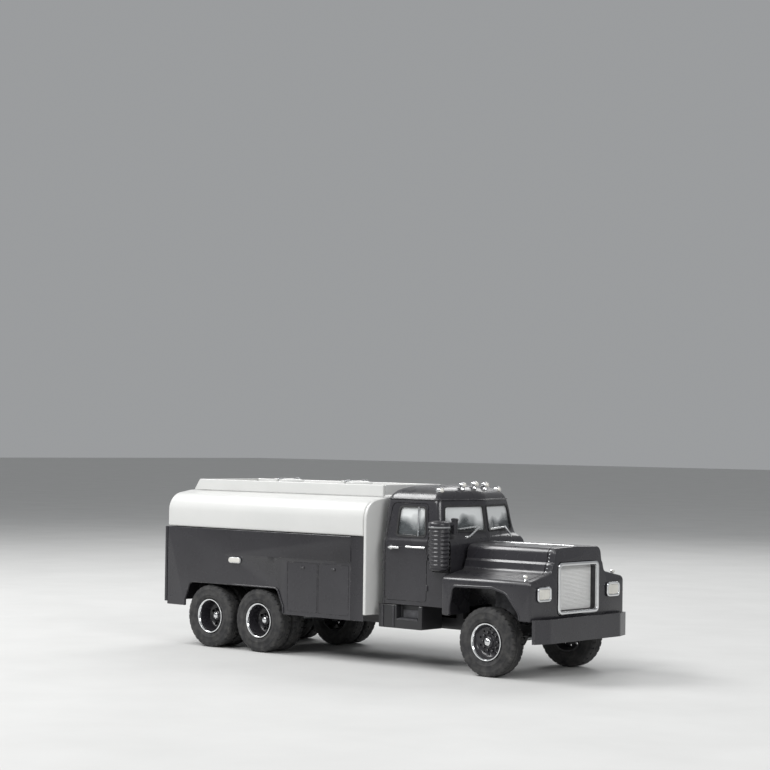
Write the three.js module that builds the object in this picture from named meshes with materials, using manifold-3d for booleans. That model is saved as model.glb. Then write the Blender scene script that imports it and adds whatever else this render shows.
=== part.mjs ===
// Toy tanker truck, 1:34 scale, as an assembly of separate pieces.
// Millimetres. +X forward, +Y the truck's left, +Z up. Origin: bottom centre of the whole truck.
import * as THREE from 'three';
import { mergeVertices } from 'three/addons/utils/BufferGeometryUtils.js';
import Module from 'manifold-3d';

const wasm = await Module();
wasm.setup();

// ---------------------------------------------------------------- driving dimensions
const GAP = 0.3; // clearance between touching pieces

// running gear
const AXLE_Z = 15.5; // axle height, which is also the distance from the axle to a tyre facet
const FRONT_AXLE_X = 90;
const MID_AXLE_X = -50.6;
const REAR_AXLE_X = -84.7;
const AXLE_RADIUS = 1.2;
const TYRE_SIDES = 24; // a multiple of four, turned so that one facet lies flat on the ground
const RIM_RADIUS = 8.4;
const FRONT_TYRE = { centre: 30.2, half: 4.5 }; // distance of its middle from the truck's centre line
const DUAL_TYRE = { centre: 27.1, half: 8.7 };

// chassis
const RAIL = { inner: 9.5, outer: 12, bottom: 17.2, top: 22.4, front: 117, back: -103 };
const WEB = { bottom: 19.4, top: 21 };
const BUMPER = { back: 118.5, front: 120, half: 34.9, bottom: 16.4, top: 27 };

// cab
const CAB = { back: 22.4, half: 30.2, bottom: 28.7, front: 64, wall: 1.6 };
const DOOR_FRONT = 52.2;
const WINDOW = { bottom: 60.5, top: 73.9, back: 32.2, front: 49.6 };

// hood with fenders, tilting on a pin low at the front
const HOOD = { back: 65.4, front: 115.4, half: 18.6, top: 58.4, bottom: 26, wall: 1.7 };
const FENDER = { half: 36, crown: 43.4, root: 47 };
const HOOD_PIVOT = { x: 109.4, z: 30, radius: 0.7, half: 22.4, boss: 1.65 };
const GRILLE = { half: 15.8, bottom: 27.6, top: 51.6, proud: 0.8, depth: 4.2 };
const HEADLIGHT = { y: 26.4, z: 37.8, width: 10, height: 6.6 };

// tank body
const TANK = { back: -115.5, front: 19.5, half: 36, belt: 59.5, shoulder: 66, top: 78.4, wall: 1.6 };
const SKIRT_BOTTOM = 19.7;
const ARCH = { back: -99, front: -38, top: 32.1, spread: 4 };
const FLOOR = { bottom: 33, top: 34.6 };
const COAMING = { half: 21.7, bottom: 77.9, top: 83.4, wall: 1.6, back: -111.4, front: 17.4, rake: 3.8 };
const MANWAY_X = [-17, -63];
const MANWAY_RADIUS = 6.2;
const MANWAY_RIM_TOP = 82.6;
const LID_THICKNESS = 1.5;
const LID_PIN_OFFSET = 8.4; // from the manway's centre back to its hinge line

// ---------------------------------------------------------------- finishes
const FINISHES = {
  charcoal: { color: 0x3a3a40, roughness: 0.4, metalness: 0.1 },
  offWhite: { color: 0xe4e4e0, roughness: 0.45, metalness: 0.0 },
  chrome: { color: 0xd8dadc, roughness: 0.15, metalness: 1.0 },
  black: { color: 0x202022, roughness: 0.55, metalness: 0.2 },
  rubber: { color: 0x1b1b1d, roughness: 0.85, metalness: 0.0 },
  glass: { color: 0xb9c4c8, roughness: 0.08, metalness: 0.0 },
  plastic: { color: 0x55524e, roughness: 0.7, metalness: 0.0 },
  lens: { color: 0xe9e2d2, roughness: 0.2, metalness: 0.0 },
  redLens: { color: 0x8c2b26, roughness: 0.2, metalness: 0.0 },
  steel: { color: 0x9a9c9f, roughness: 0.35, metalness: 1.0 },
};

const truck = new THREE.Group();

function add(name, geometry, finish, place = [0, 0, 0]) {
  const mesh = new THREE.Mesh(geometry, new THREE.MeshStandardMaterial(FINISHES[finish]));
  mesh.name = name;
  mesh.position.set(...place);
  truck.add(mesh);
  return mesh;
}

// ---------------------------------------------------------------- solids: join and cut
function toSolid(geometry) {
  const bare = geometry.clone();
  bare.deleteAttribute('normal');
  bare.deleteAttribute('uv');
  const merged = mergeVertices(bare, 1e-4);
  return new wasm.Manifold(new wasm.Mesh({
    numProp: 3,
    vertProperties: Float32Array.from(merged.attributes.position.array),
    triVerts: Uint32Array.from(merged.index.array),
  }));
}

function toGeometry(solid) {
  const mesh = solid.getMesh();
  const geometry = new THREE.BufferGeometry();
  geometry.setAttribute('position', new THREE.BufferAttribute(mesh.vertProperties, 3));
  geometry.setIndex(new THREE.BufferAttribute(mesh.triVerts, 1));
  geometry.computeVertexNormals();
  return geometry;
}

const combine = (how) => (first, ...others) => toGeometry(
  others.reduce((solid, other) => solid[how](toSolid(other)), toSolid(first)),
);
const join = combine('add');
const cut = combine('subtract');
const overlap = combine('intersect');

// ---------------------------------------------------------------- basic shapes
function box(x0, x1, y0, y1, z0, z1) {
  const geometry = new THREE.BoxGeometry(x1 - x0, y1 - y0, z1 - z0);
  return geometry.translate((x0 + x1) / 2, (y0 + y1) / 2, (z0 + z1) / 2);
}

// An outline of [a, b, radius] corners, with each corner rounded by an arc of its radius.
function outline(corners, arcSteps = 4) {
  const points = [];
  corners.forEach(([a, b, radius = 0], i) => {
    const corner = new THREE.Vector2(a, b);
    if (radius === 0) {
      points.push(corner);
      return;
    }
    const before = corners[(i + corners.length - 1) % corners.length];
    const after = corners[(i + 1) % corners.length];
    const toBefore = new THREE.Vector2(before[0] - a, before[1] - b).normalize();
    const toAfter = new THREE.Vector2(after[0] - a, after[1] - b).normalize();
    const half = Math.acos(THREE.MathUtils.clamp(toBefore.dot(toAfter), -1, 1)) / 2;
    const middle = toBefore.clone().add(toAfter).normalize();
    const centre = corner.clone().addScaledVector(middle, radius / Math.sin(half));
    const start = corner.clone().addScaledVector(toBefore, radius / Math.tan(half)).sub(centre);
    const end = corner.clone().addScaledVector(toAfter, radius / Math.tan(half)).sub(centre);
    const turn = Math.atan2(start.cross(end), start.dot(end));
    for (let step = 0; step <= arcSteps; step += 1) {
      const arm = start.clone().rotateAround(new THREE.Vector2(), (turn * step) / arcSteps);
      points.push(arm.add(centre));
    }
  });
  return points;
}

function extrude(points, depth) {
  return new THREE.ExtrudeGeometry(new THREE.Shape(points), { depth, bevelEnabled: false });
}

// A prism along X from an outline in (y, z).
function prismX(points, x0, x1) {
  const turn = new THREE.Matrix4().makeBasis(
    new THREE.Vector3(0, 1, 0),
    new THREE.Vector3(0, 0, 1),
    new THREE.Vector3(1, 0, 0),
  );
  return extrude(points, x1 - x0).applyMatrix4(turn).translate(x0, 0, 0);
}

// A prism along Y from an outline in (x, z).
function prismY(points, y0, y1) {
  return extrude(points, y1 - y0).rotateX(Math.PI / 2).translate(0, y1, 0);
}

// A prism along Z from an outline in (x, y).
function prismZ(points, z0, z1) {
  return extrude(points, z1 - z0).translate(0, 0, z0);
}

function rectangle(a0, a1, b0, b1, radius = 0, arcSteps = 4) {
  return outline([[a0, b0, radius], [a1, b0, radius], [a1, b1, radius], [a0, b1, radius]], arcSteps);
}

// A turned piece about the Y axis from a closed loop, or a path from axis to axis, of [radius, y].
function turned(profile, sides) {
  const points = profile.map(([radius, y]) => new THREE.Vector2(radius, y));
  if (THREE.ShapeUtils.area(points) < 0) {
    points.reverse();
  }
  const onAxis = points[0].x === 0 && points[points.length - 1].x === 0;
  if (!onAxis && points.some((point) => point.x === 0)) {
    const seam = points.findIndex((point, i) => point.x === 0 && points[(i + 1) % points.length].x === 0);
    points.push(...points.splice(0, seam + 1));
  } else if (!onAxis) {
    points.push(points[0].clone());
  }
  return new THREE.LatheGeometry(points, sides, Math.PI / sides, Math.PI * 2);
}

function rodY(radius, y0, y1, x, z, sides = 10) {
  return turned([[0, y0], [radius, y0], [radius, y1], [0, y1]], sides).translate(x, 0, z);
}

function rodX(radius, x0, x1, y, z, sides = 10) {
  return turnedX([[0, x0], [radius, x0], [radius, x1], [0, x1]], sides).translate(0, y, z);
}

function turnedZ(profile, sides) {
  return turned(profile, sides).rotateX(Math.PI / 2);
}

function turnedX(profile, sides) {
  return turned(profile, sides).rotateZ(-Math.PI / 2);
}

// A closed body through rings of equal point counts, lowest ring first, each counterclockwise from above.
function loft(rings) {
  const count = rings[0].length;
  const positions = rings.flat().flatMap((point) => [point.x, point.y, point.z]);
  const index = [];
  for (let level = 0; level < rings.length - 1; level += 1) {
    for (let i = 0; i < count; i += 1) {
      const next = (i + 1) % count;
      const low = level * count;
      const high = low + count;
      index.push(low + i, low + next, high + next, low + i, high + next, high + i);
    }
  }
  const last = (rings.length - 1) * count;
  const caps = THREE.ShapeUtils.triangulateShape(rings[0].map((p) => new THREE.Vector2(p.x, p.y)), []);
  const topCaps = THREE.ShapeUtils.triangulateShape(
    rings[rings.length - 1].map((p) => new THREE.Vector2(p.x, p.y)),
    [],
  );
  caps.forEach(([a, b, c]) => index.push(a, c, b));
  topCaps.forEach(([a, b, c]) => index.push(last + a, last + b, last + c));
  const geometry = new THREE.BufferGeometry();
  geometry.setAttribute('position', new THREE.Float32BufferAttribute(positions, 3));
  geometry.setIndex(index);
  geometry.computeVertexNormals();
  return geometry;
}

const SIDES = [['left', 1], ['right', -1]];
const between = (a, b) => [Math.min(a, b), Math.max(a, b)];

// A box given by its distances from the centre line, on the left (side 1) or the right (side -1).
function sideBox(side, x0, x1, inner, outer, z0, z1) {
  return box(x0, x1, ...between(side * inner, side * outer), z0, z1);
}

// ---------------------------------------------------------------- wheels and axles
// Half of a tyre section, [radius, distance from its middle], mirrored by tyreSection.
function tyreSection(half, tread, grooves) {
  const outer = tread / Math.cos(Math.PI / TYRE_SIDES);
  const bead = RIM_RADIUS + GAP;
  const edge = [
    [bead, half - 0.9],
    [bead + 1.2, half - 0.1],
    [bead + 3.6, half],
    [outer - 1.2, half - 0.3],
    [outer, half - 1.4],
  ];
  const inward = [...edge].reverse().map(([radius, y]) => [radius, -y]);
  const trough = grooves ? [[outer, 0.9], [outer - 3.2, 0.4], [outer - 3.2, -0.4], [outer, -0.9]] : [];
  return [...edge, ...trough, ...inward];
}

const tyreShape = (spec, dual) => turned(tyreSection(spec.half, AXLE_Z, dual), TYRE_SIDES);

// Wheel sections, [radius, distance outward from the tyre's middle], from hub cap to axle bore.
const BORE = AXLE_RADIUS + GAP;
const FRONT_WHEEL_SECTION = [
  [0, 5.2], [1.7, 4.9], [2.5, 3.9], [2.7, 1.9], [5.2, 1.5], [7.2, 2.6], [7.5, 4.0], [RIM_RADIUS, 4.1],
  [RIM_RADIUS, -4.0], [7.4, -4.0], [7.2, 0.9], [3.3, 0.3], [3.1, -3.6], [BORE, -3.6], [BORE, 3.0], [0, 3.0],
];
const DUAL_WHEEL_SECTION = [
  [0, 5.6], [1.7, 5.3], [2.5, 4.4], [2.7, 0.9], [5.4, 0.6], [7.0, 1.6], [7.5, 8.1], [RIM_RADIUS, 8.3],
  [RIM_RADIUS, -8.1], [7.4, -8.1], [7.2, 0.1], [3.3, -0.5], [3.1, -7.4], [BORE, -7.4], [BORE, 3.4], [0, 3.4],
];
const WHEEL_SIDES = 16;

function addWheelset(name, x, tyre, section, dual) {
  const axleEnd = tyre.centre + (dual ? 3.1 : 2.7);
  add(`${name}_axle`, rodY(AXLE_RADIUS, -axleEnd, axleEnd, x, AXLE_Z), 'steel');
  SIDES.forEach(([sideName, side]) => {
    const outward = side > 0 ? section : section.map(([radius, y]) => [radius, -y]);
    const place = [x, side * tyre.centre, AXLE_Z];
    add(`${name}_wheel_${sideName}`, turned(outward, WHEEL_SIDES), 'chrome', place);
    add(`${name}_tyre_${sideName}`, tyreShape(tyre, dual), 'rubber', place);
  });
}

addWheelset('front', FRONT_AXLE_X, FRONT_TYRE, FRONT_WHEEL_SECTION, false);
addWheelset('mid', MID_AXLE_X, DUAL_TYRE, DUAL_WHEEL_SECTION, true);
addWheelset('rear', REAR_AXLE_X, DUAL_TYRE, DUAL_WHEEL_SECTION, true);

// ---------------------------------------------------------------- chassis
// The hood's pin is held by an upright on each rail that reaches forward to a rounded boss.
const HOOD_BRACKET = { back: 102.3, front: 107.7, heel: 27, thickness: 1.7 };

function hoodBracket() {
  const { x, z, boss } = HOOD_PIVOT;
  const { back, front, heel } = HOOD_BRACKET;
  return outline([
    [back, RAIL.top - 1], [front, RAIL.top - 1], [front, z - boss], [x + boss, z - boss, 1.6],
    [x + boss, z + boss, 1.6], [front, z + boss], [back, heel],
  ], 3);
}

// Two rails joined by a web, with axle bearers below, cab posts above and lugs for the hood's pin.
function chassisFrame() {
  const parts = [box(RAIL.back, RAIL.front, -RAIL.inner - 0.5, RAIL.inner + 0.5, WEB.bottom, WEB.top)];
  const holes = [rodY(HOOD_PIVOT.radius + GAP, -20, 20, HOOD_PIVOT.x, HOOD_PIVOT.z)];
  [FRONT_AXLE_X, MID_AXLE_X, REAR_AXLE_X].forEach((x) => {
    holes.push(rodY(AXLE_RADIUS + GAP, -20, 20, x, AXLE_Z));
  });
  SIDES.forEach(([, side]) => {
    parts.push(sideBox(side, RAIL.back, RAIL.front, RAIL.inner, RAIL.outer, RAIL.bottom, RAIL.top));
    [FRONT_AXLE_X, MID_AXLE_X, REAR_AXLE_X].forEach((x) => {
      const bearer = outline([[x - 6, 18], [x - 3, 12.6, 1], [x + 3, 12.6, 1], [x + 6, 18]], 2);
      parts.push(prismY(bearer, ...between(side * RAIL.inner, side * RAIL.outer)));
    });
    [27, 57].forEach((x) => {
      parts.push(sideBox(side, x - 2, x + 2, RAIL.inner, RAIL.outer, RAIL.top - 1, CAB.bottom - GAP));
    });
    parts.push(prismY(hoodBracket(), ...between(side * RAIL.inner, side * (RAIL.inner + HOOD_BRACKET.thickness))));
  });
  return cut(join(...parts), ...holes);
}

// The bumper is a pressed channel with swept ends and a flanged back.
function frontBumper() {
  const sweep = 2.6;
  const plan = outline([
    [BUMPER.back - sweep, -BUMPER.half], [BUMPER.front - sweep, -BUMPER.half],
    [BUMPER.front, -BUMPER.half + 8, 6], [BUMPER.front, BUMPER.half - 8, 6],
    [BUMPER.front - sweep, BUMPER.half], [BUMPER.back - sweep, BUMPER.half],
    [BUMPER.back, BUMPER.half - 8, 6], [BUMPER.back, -BUMPER.half + 8, 6],
  ], 3);
  const bracket = (side) => sideBox(side, RAIL.front + GAP, BUMPER.back + 0.2, RAIL.inner, RAIL.outer, 18, 22);
  return join(prismZ(plan, BUMPER.bottom, BUMPER.top), bracket(1), bracket(-1));
}

add('chassis_frame', chassisFrame(), 'black');
add('front_bumper', frontBumper(), 'charcoal');
add('hood_hinge_pin', rodY(
  HOOD_PIVOT.radius, -HOOD_PIVOT.half, HOOD_PIVOT.half, HOOD_PIVOT.x, HOOD_PIVOT.z,
), 'steel');

// ---------------------------------------------------------------- cab
// Rings of the cab's outside: height, half width, back, front at the pillars, front at the middle.
const CAB_LEVELS = [
  { z: CAB.bottom, half: CAB.half, back: CAB.back, pillar: CAB.front, nose: CAB.front },
  { z: 56.4, half: CAB.half, back: CAB.back, pillar: CAB.front, nose: CAB.front },
  { z: 59.4, half: 29.0, back: CAB.back, pillar: 62.5, nose: 64 },
  { z: 61.6, half: 28.6, back: CAB.back, pillar: 58.1, nose: 63.7 },
  { z: 75.6, half: 26.6, back: 22.6, pillar: 55.2, nose: 61.4 },
  { z: 78.4, half: 25.4, back: 23.0, pillar: 54.6, nose: 60.8 },
  { z: 81, half: 22.5, back: 24.4, pillar: 53.5, nose: 59.2 },
  { z: 82.6, half: 18.2, back: 27.2, pillar: 51.4, nose: 56.6 },
  { z: 83.6, half: 11.5, back: 31.5, pillar: 48.4, nose: 52.6 },
];
const ROOF_LEVEL = 4; // the level where the sides turn in to the roof

// The cab's outside shrunk inward by inset. The lowest ring goes down instead, to open the floor.
function cabBody(inset) {
  return loft(CAB_LEVELS.map(({ z, half, back, pillar, nose }, level) => {
    const lowered = Math.max(0, level - ROOF_LEVEL) / (CAB_LEVELS.length - 1 - ROOF_LEVEL);
    const height = level === 0 ? z - inset : z - inset * lowered;
    const width = half - inset;
    const corners = [
      [back + inset, -width, 5], [pillar - inset, -width, 3], [nose - inset, 0, 12],
      [pillar - inset, width, 3], [back + inset, width, 5],
    ];
    if (pillar === nose) {
      corners[2][2] = 0;
      corners[2][0] += 0.001;
      corners[2] = [corners[2][0] + 0.4, 0, 12];
    }
    return outline(corners, 3).map((point) => new THREE.Vector3(point.x, point.y, height));
  }));
}

const sideWindow = (margin) => outline([
  [WINDOW.back + margin, WINDOW.bottom + margin, 1.4],
  [WINDOW.front - margin, WINDOW.bottom + margin, 1.2],
  [WINDOW.front - 1.4 - margin, WINDOW.top - margin, 1.6],
  [WINDOW.back + 0.6 + margin, WINDOW.top - margin, 1.8],
], 3);

const windshieldPane = (side, margin) => outline([
  [side * (1.1 + margin), 63.2 + margin, 0.8],
  [side * (25 - margin), 63.2 + margin, 1.8],
  [side * (23.4 - margin), 74.6 - margin, 2],
  [side * (1.1 + margin), 74.6 - margin, 0.8],
], 3);

const rearWindow = (margin) => rectangle(-11 + margin, 11 - margin, 62.6 + margin, 73 - margin, 2, 3);

// Five bullet marker lamps stand along the front of the roof, which is curved in plan and crowned.
const LAMP_RADIUS = 1.35;
const LAMP_FOOT = 1.2; // how far each lamp reaches down into its socket
const LAMP_ROWS = [-21.4, -8.5, 0, 8.5, 21.4].map((y) => ({
  x: 55.4 - 0.0073 * y * y,
  y,
  z: 83.5 - 0.0062 * y * y,
}));

// The air cleaner stands beside the right cowl; its intake rises ahead of the windshield's corner.
const AIR_CLEANER = { x: 60.2, y: -31.6, radius: 5, bottom: 45.6, top: 68.4 };
const INTAKE = { x: 61.9, y: -22.6, radius: 1.5, bottom: 62.2, top: 69.3, inlet: 66.4 };

function cabShell() {
  const cleaner = AIR_CLEANER;
  const recess = rodZ(cleaner.radius + 0.5, cleaner.bottom - 1.2, cleaner.top + 3, cleaner.x, cleaner.y, 16);
  const inside = cut(
    cabBody(CAB.wall),
    box(DOOR_FRONT, 70, -40, -20, 20, 61),
    box(DOOR_FRONT, 70, 20, 40, 20, 61),
  );
  const sockets = LAMP_ROWS.map(({ x, y, z }) => rodZ(LAMP_RADIUS + GAP, z - LAMP_FOOT - GAP, z + 8, x, y));
  return cut(
    cabBody(0),
    inside,
    recess,
    prismY(sideWindow(0), -40, 40),
    prismX(windshieldPane(1, 0), 50, 70),
    prismX(windshieldPane(-1, 0), 50, 70),
    prismX(rearWindow(0), 15, 28),
    ...sockets,
  );
}

function rodZ(radius, z0, z1, x, y, sides = 10) {
  const ring = new THREE.EllipseCurve(x, y, radius, radius).getPoints(sides).slice(0, sides);
  return prismZ(ring, z0, z1);
}

add('cab_shell', cabShell(), 'charcoal');

// Panes sit just inside the shell's outer face, a gap smaller than their openings all round.
const PANE = { recess: 0.5, thickness: 0.8 };

function pane(opening) {
  const layer = cut(cabBody(PANE.recess), cabBody(PANE.recess + PANE.thickness));
  return overlap(layer, opening);
}

add('windshield_left', pane(prismX(windshieldPane(1, GAP), 50, 70)), 'glass');
add('windshield_right', pane(prismX(windshieldPane(-1, GAP), 50, 70)), 'glass');
add('side_window_left', pane(prismY(sideWindow(GAP), 10, 40)), 'glass');
add('side_window_right', pane(prismY(sideWindow(GAP), -40, -10)), 'glass');
add('rear_window', pane(prismX(rearWindow(GAP), 15, 28)), 'glass');

// The moulded interior: floor, bench and dash in one piece, closing the shell from below.
function cabInterior() {
  const wide = CAB.half - CAB.wall - GAP;
  const front = CAB.front - 2.8;
  const foot = 19.5; // the floor narrows between the cowl sides
  const floor = outline([
    [CAB.back + 2, -wide, 5.2], [DOOR_FRONT - GAP, -wide], [DOOR_FRONT - GAP, -foot], [front, -foot],
    [front, foot], [DOOR_FRONT - GAP, foot], [DOOR_FRONT - GAP, wide], [CAB.back + 2, wide, 5.2],
  ], 3);
  const seatCushion = box(27, 42, -22, 22, 30, 42);
  const seatBack = prismY(outline([[24.6, 41], [31, 41, 2], [28, 62, 1.6], [24.6, 62, 1]], 2), -22, 22);
  const dash = prismY(outline([[60.9, 44], [60.9, 58], [54.5, 57, 1.5], [55.5, 48, 1.5]], 2), -19.5, 19.5);
  const tunnel = box(54, 60.9, -8, 8, 30, 48);
  return join(prismZ(floor, CAB.bottom, CAB.bottom + 1.6), seatCushion, seatBack, dash, tunnel);
}

function steeringWheel() {
  const rim = new THREE.TorusGeometry(5.4, 0.55, 5, 14).rotateZ(0.1);
  const hub = new THREE.CylinderGeometry(1.3, 1.3, 1, 10).rotateX(Math.PI / 2);
  const spokes = [0, 1, 2].map((turn) => new THREE.BoxGeometry(5.2, 0.8, 0.5)
    .translate(2.7, 0, 0).rotateZ(Math.PI / 2 + (turn * Math.PI * 2) / 3));
  return join(rim, hub, ...spokes).rotateY(-Math.PI / 4);
}

add('cab_interior', cabInterior(), 'plastic');
add('steering_wheel', steeringWheel(), 'black', [49.2, 12, 56.6]);

LAMP_ROWS.forEach(({ x, y, z }, i) => {
  const bullet = [[0, -LAMP_FOOT], [LAMP_RADIUS, -LAMP_FOOT], [LAMP_RADIUS, 1.2], [0.8, 2.1], [0, 2.4]];
  add(`marker_lamp_${i + 1}`, turnedZ(bullet, 8), 'chrome', [x, y, z]);
});

// Wipers: an arm from its pivot to the middle of a blade, lying just in front of the glass.
function wiper(pivot, elbow, bladeEnds) {
  const bar = (from, to, width) => {
    const start = new THREE.Vector3(...from);
    const end = new THREE.Vector3(...to);
    const length = start.distanceTo(end);
    const turn = new THREE.Quaternion().setFromUnitVectors(
      new THREE.Vector3(0, 0, 1),
      end.clone().sub(start).normalize(),
    );
    const geometry = new THREE.BoxGeometry(width, width, length).applyQuaternion(turn);
    return geometry.translate(...start.add(end).multiplyScalar(0.5).toArray());
  };
  const post = rodX(0.9, pivot[0] - 0.7, pivot[0] + 0.4, pivot[1], pivot[2], 8);
  return join(bar(pivot, elbow, 0.7), bar(...bladeEnds, 0.8), post);
}

const WIPERS = {
  right: { pivot: [64.2, -14.3, 60.4], elbow: [63.6, -6.5, 65], blade: [[60.9, -17.4, 64.2], [63.8, -5.9, 65.1]] },
  left: { pivot: [64.1, 18, 60.2], elbow: [61.8, 16.1, 64.3], blade: [[64.7, 1.2, 63.9], [61.7, 16.7, 64.3]] },
};
Object.entries(WIPERS).forEach(([sideName, { pivot, elbow, blade }]) => {
  add(`wiper_${sideName}`, wiper(pivot, elbow, blade), 'chrome');
});

function doorHandle(side) {
  const grip = sideBox(side, 29.5, 35.7, CAB.half + 0.9, CAB.half + 1.8, 54.2, 55.6);
  const foot = (x) => sideBox(side, x, x + 1.3, CAB.half + GAP, CAB.half + 1, 54.3, 55.5);
  return join(grip, foot(29.7), foot(34.2));
}

// Below each door: a battery and fuel box with a step let into its upper outer edge.
function sideStep(side) {
  const body = sideBox(side, 23.5, 50, 16, 31, 17.6, CAB.bottom - GAP);
  return cut(body, sideBox(side, 34.5, 47.5, 27.2, 32, 21.8, 30));
}

SIDES.forEach(([sideName, side]) => {
  add(`door_handle_${sideName}`, doorHandle(side), 'chrome');
  add(`side_step_${sideName}`, sideStep(side), 'black');
});

// A canister with a domed cap, joined by a branch near its top to the intake stack.
function airCleaner() {
  const { x, y, radius, bottom, top } = AIR_CLEANER;
  const canister = turnedZ([
    [0, bottom], [radius - 1, bottom], [radius - 0.3, bottom + 1.2], [radius - 0.3, top - 4.2],
    [radius, top - 4], [radius, top - 2], [radius - 1.2, top - 0.6], [0, top],
  ], 16).translate(x, y, 0);
  const stack = rodZ(INTAKE.radius, INTAKE.bottom, INTAKE.top, INTAKE.x, INTAKE.y, 12);
  const branch = rodY(1.1, y, INTAKE.y, INTAKE.x, INTAKE.inlet, 10);
  return join(canister, stack, branch);
}

add('air_cleaner', airCleaner(), 'black');

// ---------------------------------------------------------------- hood
function hoodShell() {
  const { back, front, half, top, bottom, wall } = HOOD;
  const section = (inset) => outline([
    [-FENDER.half + inset, bottom - inset * 2], [FENDER.half - inset, bottom - inset * 2],
    [FENDER.half - inset, FENDER.crown - inset, 2.4], [half + 1.2 - inset, FENDER.root - inset, 2],
    [half - inset, 50.6, 0], [half - 1.6 - inset, top - inset, 3.4],
    [-half + 1.6 + inset, top - inset, 3.4], [-half + inset, 50.6, 0],
    [-half - 1.2 + inset, FENDER.root - inset, 2], [-FENDER.half + inset, FENDER.crown - inset, 2.4],
  ], 3);
  const arch = outline([
    [69.5, 10], [69.5, 30], [71.2, 39.6, 3], [94.3, 40, 3], [102, 38, 5], [109.5, 29.4, 5], [110.4, 10],
  ], 3);
  const grille = rectangle(-GRILLE.half, GRILLE.half, GRILLE.bottom, GRILLE.top, 2.6, 3);
  const ear = (side) => prismY(outline([
    [HOOD_PIVOT.x - 1.9, HOOD_PIVOT.z - 1.9, 1.5], [front - 1, HOOD_PIVOT.z - 1.9],
    [front - 1, HOOD_PIVOT.z + 4], [HOOD_PIVOT.x - 1.9, HOOD_PIVOT.z + 1.9, 1.5],
  ], 3), ...between(side * 20, side * 21.8));
  const hollow = cut(
    prismX(section(0), back, front),
    prismX(section(wall), back + wall, front - wall),
    box(back - 1, back + 3, -half + wall, half - wall, 10, 50),
    box(back - 1, back + 3, -half + 1.6 + wall, half - 1.6 - wall, 49, top - wall - 1.2),
    prismY(arch, -40, -20),
    prismY(arch, 20, 40),
    prismX(grille, front - 3, front + 1),
  );
  const pinHole = rodY(HOOD_PIVOT.radius + GAP, -24, 24, HOOD_PIVOT.x, HOOD_PIVOT.z);
  return cut(join(hollow, ear(1), ear(-1)), pinHole, ...SIDES.map(([, side]) => headlightSocket(side, GAP)));
}

// A headlight is a rounded rectangular bezel on a spigot that sits in the hood's front.
function headlightBlock(side, grow, x0, x1) {
  const y = side * HEADLIGHT.y;
  const halfWidth = HEADLIGHT.width / 2 + grow;
  const halfHeight = HEADLIGHT.height / 2 + grow;
  const face = rectangle(y - halfWidth, y + halfWidth, HEADLIGHT.z - halfHeight, HEADLIGHT.z + halfHeight, 1.6, 3);
  return prismX(face, x0, x1);
}

function headlightSocket(side, gap) {
  return headlightBlock(side, gap - 1, HOOD.front - 3, HOOD.front + 1);
}

function headlight(side) {
  const rim = headlightBlock(side, 0, HOOD.front + GAP, HOOD.front + 1.3);
  const dish = headlightBlock(side, -1.1, HOOD.front + 0.7, HOOD.front + 2);
  return cut(join(rim, headlightBlock(side, -1, HOOD.front - 1.2, HOOD.front + 0.6)), dish);
}

function grilleRing(margin, radius) {
  const { half, bottom, top } = GRILLE;
  return rectangle(-half + margin, half - margin, bottom + margin, top - margin, radius, 4);
}

// The grille is a deep bright frame standing proud of the hood, with the mesh panel sunk inside it.
function grilleFrame() {
  const outer = prismX(grilleRing(GAP, 2.4), HOOD.front - GRILLE.depth, HOOD.front + GRILLE.proud);
  return cut(outer, prismX(grilleRing(2, 1.4), HOOD.front - GRILLE.depth - 1, HOOD.front + 2));
}

function grilleMesh() {
  return prismX(grilleRing(2 + GAP, 1.1), HOOD.front - GRILLE.depth + 0.2, HOOD.front - GRILLE.depth + 1.2);
}

add('hood_shell', hoodShell(), 'charcoal');
add('grille_frame', grilleFrame(), 'chrome');
add('grille_mesh', grilleMesh(), 'chrome');
SIDES.forEach(([sideName, side]) => {
  add(`headlight_${sideName}`, headlight(side), 'chrome');
});

// A simple straight six under the hood: block, sump, head, cover and fan.
function engineBlock() {
  const block = box(74, 101, -7, 7, WEB.top + GAP, 39);
  const head = box(75, 100, -5, 5, 38, 44);
  const cover = prismX(rectangle(-3.6, 3.6, 42, 48.4, 1.4, 2), 76, 99);
  const manifold = box(78, 97, 4, 10, 37, 41);
  const shaft = rodX(1.6, 100, 106.4, 0, 36);
  const blades = [0, 1, 2].map((turn) => new THREE.BoxGeometry(0.9, 17, 2.6)
    .rotateX((turn * Math.PI) / 3).translate(105.4, 0, 36));
  return join(block, head, cover, manifold, shaft, ...blades);
}

add('engine', engineBlock(), 'steel');

// ---------------------------------------------------------------- tank body
// Half of the tank top's section, [y, z], from the belt over the rounded shoulder to the crown.
function tankSection(inset, bottom) {
  const { half, shoulder, top } = TANK;
  const corners = [
    [-half + inset, bottom], [half - inset, bottom], [half - inset, shoulder + 9.2 - inset, 9 - inset * 0.6],
    [21.4, 77.6 - inset, 6], [0, top - inset, 40], [-21.4, 77.6 - inset, 6],
    [-half + inset, shoulder + 9.2 - inset, 9 - inset * 0.6],
  ];
  return outline(corners, 5);
}

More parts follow.
